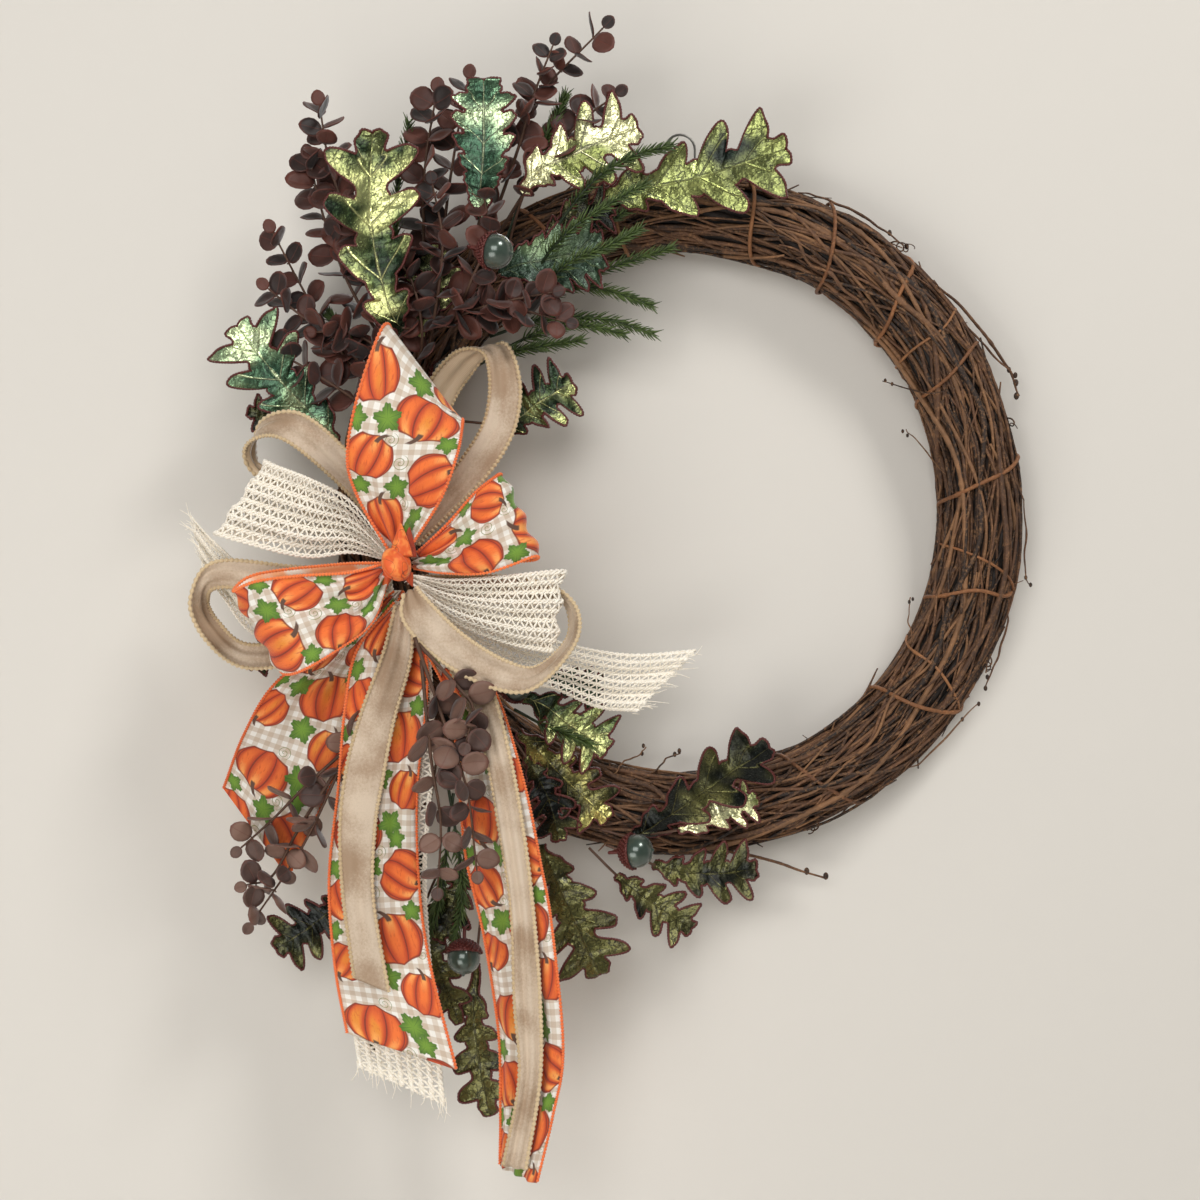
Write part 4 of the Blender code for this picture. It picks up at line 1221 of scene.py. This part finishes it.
def add_oak_leaf(name, points, width, roll, look, rng, shape, node=None):
    """A lobed foil leaf on a wire stem, with a beaded edge."""
    spine, _, across, up = spine_frames(points, 10, roll)
    grid, u, s = oak_surface(spine, across, up, width, shape, rng)
    verts, faces, _ = sheet_solid(grid, 0.0006)
    parts = Parts()
    parts.add(verts, faces, tone=rng.random())
    stem_verts, stem_faces = tube(sample(spine, np.linspace(0, LEAF_STEM + 0.02, 12)), 0.0009, 7)
    parts.add(stem_verts, stem_faces, slot=1)
    leaf = parts.build(name, look, LOOK["stem"])
    set_uv(leaf.data, "leaf", np.concatenate([across_and_along(u, s), np.zeros((len(stem_verts), 2))]))
    beads = Parts()
    beads.add(*beaded_rim(grid))
    edge = beads.build(f"{name}_beads", LOOK["beads"])
    for piece in (leaf, edge):
        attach(piece, "wreath")
    if node:
        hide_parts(node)


OAK_LEAVES = [
    # (stem start, leaf base, middle, tip), width in millimetres, roll in degrees, look. One for each
    # oak leaf of the CAD, in its order.
    ([(23, 165, 2), (-2, 152, 44), (-17, 209, 58), (-17, 271, 56)], 66, 12, "oak_gold"),
    ([(51, 180, 2), (50, 226, 46), (53, 262, 56), (53, 304, 58)], 42, 0, "oak_blue"),
    ([(61, 190, 2), (81, 244, 34), (112, 262, 42), (150, 277, 44)], 58, 0, "oak_bright"),
    ([(112, 228, 2), (134, 240, 16), (188, 250, 22), (246, 268, 24)], 62, -6, "oak_green"),
    ([(42, 170, 2), (65, 190, 22), (95, 197, 26), (126, 202, 26)], 50, 0, "oak_dull"),
    ([(-34, 52, 2), (-50, 84, 10), (-80, 118, 20), (-107, 153, 30)], 58, 0, "oak_blue"),
    ([(-6, 100, 2), (61, 92, 12), (86, 105, 16), (108, 118, 18)], 46, 0, "oak_gold"),
    ([(20, -75, 2), (81, -88, 10), (106, -104, 14), (131, -120, 16)], 48, 0, "oak_gold"),
    ([(41, -90, 2), (77, -114, 5), (104, -141, 6), (131, -166, 8)], 42, 0, "oak_brown"),
    ([(61, -147, 2), (90, -190, 8), (108, -228, 12), (126, -267, 12)], 54, 0, "oak_dark"),
    ([(126, -174, 2), (152, -176, 8), (192, -148, 22), (235, -118, 28)], 48, -15, "oak_dark"),
    ([(130, -184, 2), (166, -198, 5), (196, -202, 9), (228, -199, 12)], 42, 0, "oak_dark"),
    ([(119, -186, 2), (140, -206, 6), (162, -222, 8), (186, -238, 9)], 36, 0, "oak_dark"),
    ([(14, -154, 2), (-40, -216, 3), (-62, -236, 4), (-86, -252, 5)], 44, 0, "oak_dark"),
    ([(56, -154, 2), (44, -275, 4), (46, -318, 6), (54, -361, 6)], 38, 0, "oak_dark"),
]
SMALL_OAK_LEAVES = [
    ([(-28, 60, 2), (-62, 84, 6), (-84, 96, 8), (-104, 100, 8)], 26, 0, "oak_dark"),
    ([(-30, -30, 3), (-62, -42, 8), (-84, -52, 8), (-104, -66, 9)], 26, 0, "oak_dark"),
    ([(30, -180, 3), (10, -230, 6), (20, -262, 8), (34, -300, 8)], 28, 0, "oak_dark"),
    ([(0, 120, 4), (10, 150, 22), (18, 176, 26), (16, 206, 26)], 40, 0, "oak_gold"),
    ([(70, 205, 3), (92, 216, 10), (112, 226, 14), (134, 232, 16)], 36, 0, "oak_dark"),
    ([(20, -120, 3), (8, -200, 6), (-10, -270, 8), (-24, -318, 8)], 26, 0, "oak_dark"),
    ([(150, -178, 4), (182, -172, 12), (208, -160, 15), (228, -152, 15)], 32, 0, "oak_bright"),
    ([(60, -80, 3), (90, -72, 9), (110, -78, 11), (126, -84, 11)], 30, 0, "oak_dull"),
    ([(40, -170, 3), (36, -200, 6), (30, -222, 8), (20, -245, 8)], 34, 0, "oak_dark"),
    ([(60, -100, 3), (80, -130, 6), (92, -152, 8), (100, -180, 8)], 34, 0, "oak_dark"),
]


def add_round_leaf(parts, uvs, base, out, normal, radius, rng):
    """A round cupped leaf with a short point, standing off the stem on its stalk."""
    segments, rings = 14, 3
    side = np.cross(normal, out)
    centre = base + out * radius * 1.12
    cup, fold = rng.uniform(-0.18, 0.30), rng.uniform(0.0, 0.22)
    flat, heights = [(0.0, 0.0)], [0.0]
    for i in range(1, rings + 1):
        r = i / rings
        for k in range(segments):
            a = 2 * math.pi * k / segments
            stretch = 1 + 0.10 * max(0.0, math.cos(a)) ** 6
            flat.append((r * math.cos(a) * stretch, r * math.sin(a) * 0.94))
            heights.append(cup * r * r + fold * abs(math.sin(a)) * r + 0.04 * math.sin(3 * a + cup * 9) * r)
    flat = np.array(flat)
    heights = np.array(heights)
    surface = (centre + out * (flat[:, :1] * radius) + side * (flat[:, 1:] * radius)
               + normal * (heights[:, None] * radius))
    half = 0.00028
    verts = np.concatenate([surface + normal * half, surface - normal * half])
    count = len(surface)
    faces = []
    for k in range(segments):
        j = (k + 1) % segments
        faces.append((0, 1 + k, 1 + j))
        for i in range(rings - 1):
            a = 1 + i * segments
            faces.append((a + k, a + segments + k, a + segments + j, a + j))
    faces += [tuple(count + v for v in reversed(face)) for face in faces[:]]
    outer = 1 + (rings - 1) * segments
    for k in range(segments):
        j = (k + 1) % segments
        faces.append((outer + k, count + outer + k, count + outer + j, outer + j))
    parts.add(verts, faces, tone=rng.random())
    uvs.append(np.tile(flat[:, ::-1], (2, 1)))
    stalk = np.linspace(0, 1, 4)[:, None]
    verts, faces = tube(base + (centre - out * radius * 0.9 - base) * stalk, 0.0005, 5)
    parts.add(verts, faces, slot=1)
    uvs.append(np.zeros((len(verts), 2)))


BARE_STEM = 0.2    # share of a eucalyptus stem without leaves


def add_eucalyptus(name, points, pairs, radius, look, rng, node=None):
    """A stem with opposite pairs of round leaves, each pair turned against the last."""
    spine, along, across, up = spine_frames(points, 12)
    parts, uvs = Parts(), []
    verts, faces = tube(spine, np.linspace(0.0013, 0.0006, len(spine)), 7)
    parts.add(verts, faces, slot=1)
    uvs.append(np.zeros((len(verts), 2)))
    for pair in range(pairs):
        place = BARE_STEM + (1 - BARE_STEM) * (pair + 0.4) / pairs
        base = sample(spine, np.array(place))
        a, c, f = (sample(x, np.array(place)) for x in (along, across, up))
        size = radius * MM * (1.32 - 0.42 * place) * rng.uniform(0.82, 1.12)
        turn = (0.15 if pair % 2 else 1.15) + rng.normal(0, 0.28)
        for side in (1, -1):
            out = (c * math.cos(turn) + f * math.sin(turn)) * side + a * rng.uniform(0.25, 0.6)
            if out[1] > 0.35:
                out[1] *= 0.35
            out /= np.linalg.norm(out)
            normal = a * 0.55 + np.array([0.0, -0.8, 0.15]) + rng.normal(0, 0.5, 3)
            normal -= out * normal.dot(out)
            normal /= np.linalg.norm(normal)
            add_round_leaf(parts, uvs, base, out, normal, size, rng)
    tip = spine[-1]
    add_round_leaf(parts, uvs, tip, along[-1], up[-1], radius * MM * 0.55, rng)
    sprig = parts.build(name, look, LOOK["stem"])
    set_uv(sprig.data, "leaf", np.concatenate(uvs))
    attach(sprig, "wreath")
    if node:
        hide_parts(node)


EUCALYPTUS = [
    # (points of the stem), pairs of leaves, leaf radius in millimetres, look. In the CAD's order.
    ([(39, 197, 2), (60, 258, 22), (86, 300, 30), (128, 342, 38)], 10, 8.2, "burgundy"),
    ([(3, 152, 2), (-24, 196, 18), (-46, 250, 26), (-54, 294, 30)], 11, 9.0, "burgundy"),
    ([(-14, 107, 2), (-36, 130, 12), (-62, 170, 14), (-86, 215, 16)], 9, 8.5, "burgundy"),
    ([(12, 151, 2), (12, 190, 16), (14, 250, 36), (22, 299, 42)], 10, 9.0, "burgundy"),
    ([(9, 143, 2), (36, 158, 36), (62, 166, 42), (95, 172, 46)], 8, 8.0, "burgundy"),
    ([(-8, -58, 30), (-34, -116, 31), (-64, -180, 31), (-97, -230, 31)], 9, 7.4, "mauve"),
    ([(12, -46, 81), (30, -98, 81), (44, -140, 79), (50, -190, 77)], 8, 7.6, "mauve"),
]
MORE_EUCALYPTUS = [
    ([(50, 200, 6), (84, 250, 24), (112, 282, 32), (136, 300, 34)], 7, 8.0, "burgundy"),
    ([(45, 195, 6), (72, 262, 30), (84, 300, 36), (96, 330, 40)], 6, 7.5, "burgundy"),
    ([(20, 150, 4), (26, 220, 24), (34, 270, 34), (42, 309, 38)], 8, 8.4, "burgundy"),
    ([(-4, 130, 4), (-34, 176, 14), (-52, 222, 18), (-62, 262, 20)], 9, 8.6, "burgundy"),
    ([(-10, 108, 4), (-40, 142, 18), (-66, 160, 20), (-88, 178, 22)], 6, 8.0, "burgundy"),
    ([(-12, 92, 4), (-40, 112, 14), (-66, 128, 16), (-86, 140, 16)], 6, 8.0, "burgundy"),
    ([(10, 120, 6), (22, 170, 34), (26, 206, 42), (20, 240, 44)], 8, 8.2, "burgundy"),
    ([(16, 140, 6), (48, 162, 34), (74, 162, 40), (104, 154, 42)], 7, 7.6, "burgundy"),
    ([(0, 120, 6), (-6, 160, 26), (-22, 196, 30), (-34, 232, 30)], 8, 8.0, "burgundy"),
    ([(18, 130, 6), (44, 180, 40), (56, 208, 46), (52, 236, 48)], 7, 7.6, "burgundy"),
    ([(-6, 100, 4), (-16, 136, 20), (-36, 150, 24), (-56, 150, 24)], 6, 8.0, "burgundy"),
    ([(4, 110, 6), (12, 146, 30), (6, 180, 34), (-8, 200, 30)], 7, 8.0, "burgundy"),
    ([(-24, -108, 30), (-60, -140, 31), (-84, -164, 31), (-104, -182, 31)], 4, 7.4, "mauve"),
    ([(-40, -128, 30), (-66, -168, 31), (-84, -200, 31), (-100, -206, 31)], 4, 7.4, "mauve"),
    ([(14, -50, 79), (38, -76, 81), (48, -90, 82), (44, -110, 82)], 4, 7.8, "mauve"),
    ([(16, -60, 80), (22, -120, 81), (28, -160, 81), (26, -200, 79)], 5, 7.6, "mauve"),
]

PINE = [
    [(74, 191, 2), (104, 209, 8), (140, 229, 10), (172, 254, 8)],
    [(67, 172, 2), (100, 182, 12), (140, 196, 12), (173, 206, 14)],
    [(54, 150, 2), (90, 160, 12), (128, 160, 12), (161, 150, 14)],
]
MORE_PINE = [
    [(80, 196, 3), (118, 240, 40), (146, 258, 44), (172, 266, 42)],
    [(76, 180, 3), (100, 206, 40), (128, 226, 44), (156, 242, 42)],
    [(70, 165, 3), (104, 180, 14), (132, 178, 16), (160, 168, 16)],
    [(60, 140, 3), (84, 150, 12), (112, 156, 14), (142, 150, 14)],
    [(40, 128, 3), (64, 138, 12), (88, 142, 14), (114, 146, 14)],
    [(-10, 110, 3), (-6, 190, 24), (-4, 240, 30), (4, 284, 32)],
    [(-10, 100, 3), (-30, 140, 14), (-42, 154, 16), (-50, 162, 16)],
    [(60, 200, 3), (84, 260, 22), (96, 284, 26), (104, 302, 28)],
    [(70, -95, 3), (92, -106, 12), (108, -112, 14), (122, -118, 14)],
    [(30, -150, 3), (24, -200, 10), (20, -222, 12), (14, -240, 12)],
    [(24, -130, 3), (34, -190, 8), (36, -220, 10), (30, -250, 10)],
    [(66, 160, 3), (104, 190, 40), (132, 202, 44), (152, 213, 42)],
]


def add_pine(name, points, rng, node=None):
    """A stem with needles all round, swept forward."""
    spine, along, across, up = spine_frames(points, 10)
    parts = Parts()
    parts.add(*tube(spine, np.linspace(0.0012, 0.0006, len(spine)), 6), tone=0.1)
    count = 150
    for k in range(count):
        place = 0.22 + 0.78 * (k + rng.random()) / count
        base = sample(spine, np.array(place))
        a, c, f = (sample(x, np.array(place)) for x in (along, across, up))
        turn = k * 2.399 + rng.normal(0, 0.2)
        out = c * math.cos(turn) + f * math.sin(turn)
        lean = rng.uniform(0.55, 0.8)
        way = a * (1 - 0.35 * lean) + out * lean
        way[1] = min(way[1], 0.25)
        way /= np.linalg.norm(way)
        reach = rng.uniform(8.0, 12.5) * MM * (1 - 0.35 * place)
        path = [base, base + way * reach * 0.5, base + (way * 0.92 + a * 0.12) * reach]
        parts.add(*tube(path, [0.00055, 0.0005, 0.00012], 4), tone=rng.uniform(0.2, 0.75) + 0.25 * place)
    sprig = parts.build(name, LOOK["needles"])
    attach(sprig, "wreath")
    if node:
        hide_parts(node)


def lathe(profile, sides):
    """A closed turned shape. The profile runs from the axis to the axis as (radius, height)."""
    turn = np.linspace(0, 2 * math.pi, sides, endpoint=False)
    verts = [(0, 0, profile[0][1])]
    for r, z in profile[1:-1]:
        verts += [(r * math.cos(a), r * math.sin(a), z) for a in turn]
    verts.append((0, 0, profile[-1][1]))
    rings = len(profile) - 2
    faces = [(0, 1 + (k + 1) % sides, 1 + k) for k in range(sides)]
    faces += bands(rings, sides, first=1)
    last = 1 + (rings - 1) * sides
    faces += [(last + k, last + (k + 1) % sides, len(verts) - 1) for k in range(sides)]
    return np.array(verts, float), faces


ACORNS = [
    # centre of the nut, direction from cap to tip. The first three stand for the CAD's acorns.
    ((62, 192, 80), (0.8, -0.35, -0.2)),
    ((150, -185, 26), (0.9, -0.35, 0.1)),
    ((38, -255, 20), (0.0, -0.35, -0.9)),
    ((27, 124, 10), (0.7, -0.6, 0.3)),
    ((72, -78, 14), (0.6, -0.6, 0.3)),
]
CAD_ACORNS = 3
NUT_RADIUS, NUT_HALF = 10.75 * MM, 10.5 * MM
CAP_REACH = math.pi * 0.42    # angle from the nut's blunt end to the rim of the cap
CAP_SCALES = 150
GOLDEN_ANGLE = 2.39996        # radians between one scale of a cap and the next


def nut_outline():
    """Half outline of the nut from its blunt end to its small point."""
    angles = [math.pi * k / 16 for k in range(1, 16)]
    belly = [(NUT_RADIUS * math.sin(a) ** 0.9, -NUT_HALF * math.cos(a)) for a in angles]
    point = [(0.0012, NUT_HALF * 1.02), (0.0007, NUT_HALF * 1.12), (0, NUT_HALF * 1.15)]
    return [(0, -NUT_HALF)] + belly + point


def cap_outline(gap):
    """Half outline of a bowl over the nut's blunt end, a gap away from it."""
    angles = [CAP_REACH * k / 8 for k in range(1, 9)]
    return [((NUT_RADIUS + gap) * math.sin(a), -(NUT_HALF + gap) * math.cos(a)) for a in angles]


def add_acorn(number, centre, direction, rng):
    """A pearly nut with a small point, in a cap covered with overlapping scales, on a wire to the ring."""
    name = f"acorn_{number}"
    axis = Vector(direction).normalized()
    turn = np.array(axis.to_track_quat("Z", "X").to_matrix())
    middle = np.array(laid(centre))
    verts, faces = lathe(nut_outline(), 28)
    nut = Parts()
    nut.add(verts @ turn.T + middle, faces)
    nut_piece = nut.build(f"{name}_pearl_nut", LOOK["pearl"])
    shell = ([(0, -NUT_HALF - 0.0016)] + cap_outline(0.0013) + cap_outline(0.0003)[::-1]
             + [(0, -NUT_HALF - 0.0003)])
    verts, faces = lathe(shell, 24)
    cap = Parts()
    cap.add(verts @ turn.T + middle, faces)
    across, deep = NUT_RADIUS + 0.0014, NUT_HALF + 0.0014
    for k in range(CAP_SCALES):
        a = math.acos(1 - (k + 0.5) / CAP_SCALES * (1 - math.cos(CAP_REACH)))
        b = k * GOLDEN_ANGLE
        spot = np.array([math.sin(a) * math.cos(b) * across, math.sin(a) * math.sin(b) * across,
                         -math.cos(a) * deep])
        cap.add(*ball(turn @ spot + middle, 0.00105, 4, 6, (1, 1, 0.8)), tone=rng.random())
    stalk = [turn @ np.array([0, 0, -NUT_HALF - t]) + middle for t in np.linspace(0.001, 0.009, 6)]
    cap.add(*tube(stalk, 0.0012, 7))
    back = stalk[-1]
    foot = np.array([back[0] * 0.5 + middle[0] * 0.5, -(BUNDLE_RADIUS + 0.001), back[2]])
    bend = (back + foot) / 2 + np.array([0.002, 0, 0.001])
    cap.add(*tube(smooth_path([stalk[-2], back, bend, foot], 6), 0.0007, 6))
    cap_piece = cap.build(f"{name}_scaled_cap", LOOK["cap"])
    for piece, slot in ((nut_piece, "acorn"), (cap_piece, "cap")):
        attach(piece, "wreath")
    if number <= CAD_ACORNS:
        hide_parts(f"{name}_nut")
        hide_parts(f"{name}_cap")


SHALLOW_LEAVES = (2, 5)    # numbers of the oak leaves with shallow lobes


def make_foliage():
    rng = np.random.default_rng(77)
    for number, (points, width, roll, look) in enumerate(OAK_LEAVES, 1):
        node = f"oak_leaf_{number:02d}"
        shape = SHALLOW_LOBES if number in SHALLOW_LEAVES else DEEP_LOBES
        add_oak_leaf(f"foil_{node}", points, width * MM, roll, LOOK[look], rng, shape, node)
    for number, (points, width, roll, look) in enumerate(SMALL_OAK_LEAVES, 1):
        add_oak_leaf(f"foil_small_leaf_{number}", points, width * MM, roll, LOOK[look], rng, DEEP_LOBES)
    for number, (points, pairs, radius, look) in enumerate(EUCALYPTUS, 1):
        node = f"eucalyptus_sprig_{number}"
        add_eucalyptus(f"leafy_{node}", points, pairs, radius, LOOK[look], rng, node)
    for number, (points, pairs, radius, look) in enumerate(MORE_EUCALYPTUS, 1):
        add_eucalyptus(f"leafy_sprig_{number}", points, pairs, radius, LOOK[look], rng)
    for number, points in enumerate(PINE, 1):
        add_pine(f"needled_pine_sprig_{number}", points, rng, f"pine_sprig_{number}")
    for number, points in enumerate(MORE_PINE, 1):
        add_pine(f"needled_sprig_{number}", points, rng)
    for number, (centre, direction) in enumerate(ACORNS, 1):
        add_acorn(number, centre, direction, rng)


# ---------------------------------------------------------------- stage, light and camera
def add_panel(name, corners, material):
    """A flat rectangle of the room, which is no part of the wreath."""
    mesh = bpy.data.meshes.new(name)
    mesh.from_pydata(corners, [], [(0, 1, 2, 3)])
    mesh.materials.append(material)
    panel = bpy.data.objects.new(name, mesh)
    bpy.context.scene.collection.objects.link(panel)
    return panel


def make_stage():
    """The wall behind the wreath, which can't be seen from behind, and a floor well below."""
    wall_y, half = BACK_Y + 0.0006, 3.0
    low = RING_Z - 1.5
    wall = add_panel("wall", [(-half, wall_y, low), (half, wall_y, low), (half, wall_y, half),
                              (-half, wall_y, half)],
                     stage_material("painted_wall", srgb(210, 206, 199), see_through_back=True))
    add_panel("floor", [(-half, -half, low), (half, -half, low), (half, half, low), (-half, half, low)],
              stage_material("pale_floor", srgb(226, 222, 216)))
    return wall


def add_light(name, place, target, size, power, colour=(1, 1, 1)):
    light = bpy.data.lights.new(name, "AREA")
    light.shape = "RECTANGLE"
    light.size, light.size_y = size
    light.energy = power
    light.color = colour
    lamp = bpy.data.objects.new(name, light)
    lamp.location = place
    lamp.rotation_euler = (Vector(target) - Vector(place)).to_track_quat("-Z", "Y").to_euler()
    bpy.context.scene.collection.objects.link(lamp)
    return lamp


def make_lights(wall):
    """Soft light from above on the right, weak fills, and one from behind that passes the wall."""
    middle = (0, 0, RING_Z)
    add_light("ceiling_softbox", (1.2, -1.68, RING_Z + 2.16), middle, (0.8, 0.7), 46, (1.0, 0.985, 0.96))
    add_light("room_fill", (-0.5, -2.2, RING_Z + 0.6), middle, (1.4, 1.0), 21, (1.0, 0.99, 0.98))
    add_light("low_fill", (-1.1, -1.9, RING_Z - 1.1), middle, (1.6, 1.2), 23, (1.0, 0.98, 0.95))
    back = add_light("back_fill", (0.4, 1.9, RING_Z + 0.7), middle, (1.8, 1.8), 22)
    blockers = bpy.data.collections.new("back_fill_ignores_wall")
    blockers.objects.link(wall)
    blockers.collection_objects[0].light_linking.link_state = "EXCLUDE"
    back.light_linking.blocker_collection = blockers
    back.light_linking.receiver_collection = blockers
    world = bpy.data.worlds.new("room_light")
    world.use_nodes = True
    world.node_tree.nodes["Background"].inputs[0].default_value = (1.0, 0.99, 0.97, 1)
    world.node_tree.nodes["Background"].inputs[1].default_value = 0.20
    bpy.context.scene.world = world


def make_camera():
    """Square on to the wall, a little left of the ring's middle and below it."""
    camera = bpy.data.cameras.new("camera")
    distance, width_seen = 1.3, 0.8064
    camera.sensor_width = 36.0
    camera.lens = camera.sensor_width * distance / width_seen
    obj = bpy.data.objects.new("camera", camera)
    obj.location = (-0.0538, -distance, RING_Z - 0.0591)
    obj.rotation_euler = (math.pi / 2, 0, 0)
    bpy.context.scene.collection.objects.link(obj)
    bpy.context.scene.camera = obj
    bpy.context.scene.view_settings.view_transform = "Standard"


FOILS = {
    # look: name of the material, its dark, middle and bright colours, and how metallic it is
    "oak_gold": ("foil_gold_green", (26, 42, 24), (104, 122, 68), (226, 228, 156), 0.85),
    "oak_green": ("foil_leaf_green", (16, 28, 20), (56, 74, 46), (158, 166, 100), 0.85),
    "oak_bright": ("foil_bright_gold", (128, 136, 78), (212, 214, 142), (248, 246, 198), 0.85),
    "oak_blue": ("foil_blue_green", (52, 82, 62), (128, 162, 124), (216, 230, 182), 0.85),
    "oak_dull": ("foil_dull_green", (44, 66, 50), (78, 100, 70), (126, 146, 104), 0.5),
    "oak_dark": ("foil_dark_green", (8, 14, 9), (24, 33, 19), (100, 98, 54), 0.8),
    "oak_brown": ("foil_gold_brown", (40, 42, 24), (104, 100, 52), (204, 196, 118), 0.85),
}

make_camera()
LOOK = {
    "vine": vine_material("dried_vine", srgb(32, 20, 13), srgb(94, 62, 40), srgb(156, 114, 76)),
    # the inner vines' near-black colours are painted shade deep in the bundle
    "core": vine_material("inner_vine_painted_shade", srgb(15, 9, 6), srgb(30, 19, 12), srgb(50, 33, 22)),
    "binding": vine_material("winding_vine", srgb(92, 56, 32), srgb(134, 86, 50), srgb(168, 118, 76)),
    "wire": wire_material(),
    "velvet": velvet_material(),
    "satin": satin_material(),
    "velvet_trim": trim_material("velvet_edge_thread", srgb(158, 130, 92), srgb(216, 194, 156)),
    "orange_trim": trim_material("orange_edge_thread", srgb(214, 88, 30), srgb(246, 132, 66)),
    "cotton": cotton_material(),
    "printed": printed_material(),
    "print_back": print_back_material(),
    "knot": knot_material(),
    **{look: oak_material(*foil) for look, foil in FOILS.items()},
    "beads": bead_material("leaf_edge_beads", (44, 14, 14), (104, 40, 34)),
    "burgundy": eucalyptus_material("eucalyptus_burgundy", (24, 11, 7), (84, 41, 28), (96, 40, 25)),
    "mauve": eucalyptus_material("eucalyptus_mauve", (58, 38, 32), (116, 86, 72), (98, 52, 40)),
    "stem": stem_material("brown_stem", srgb(54, 34, 24), srgb(96, 64, 44)),
    "needles": needle_material(),
    "pearl": pearl_material(),
    "cap": bead_material("acorn_cap", (46, 14, 14), (112, 46, 38)),
}

make_core(LOOK["core"])
make_vines(LOOK["vine"])
make_bindings(LOOK["binding"])
make_strays(LOOK["vine"])
make_ribbons()
make_knot()
make_foliage()
for node in ("hanger_wire", "hanging_loop", "bow_wire"):
    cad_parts[node].data.materials.clear()
    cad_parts[node].data.materials.append(LOOK["wire"])
make_lights(make_stage())
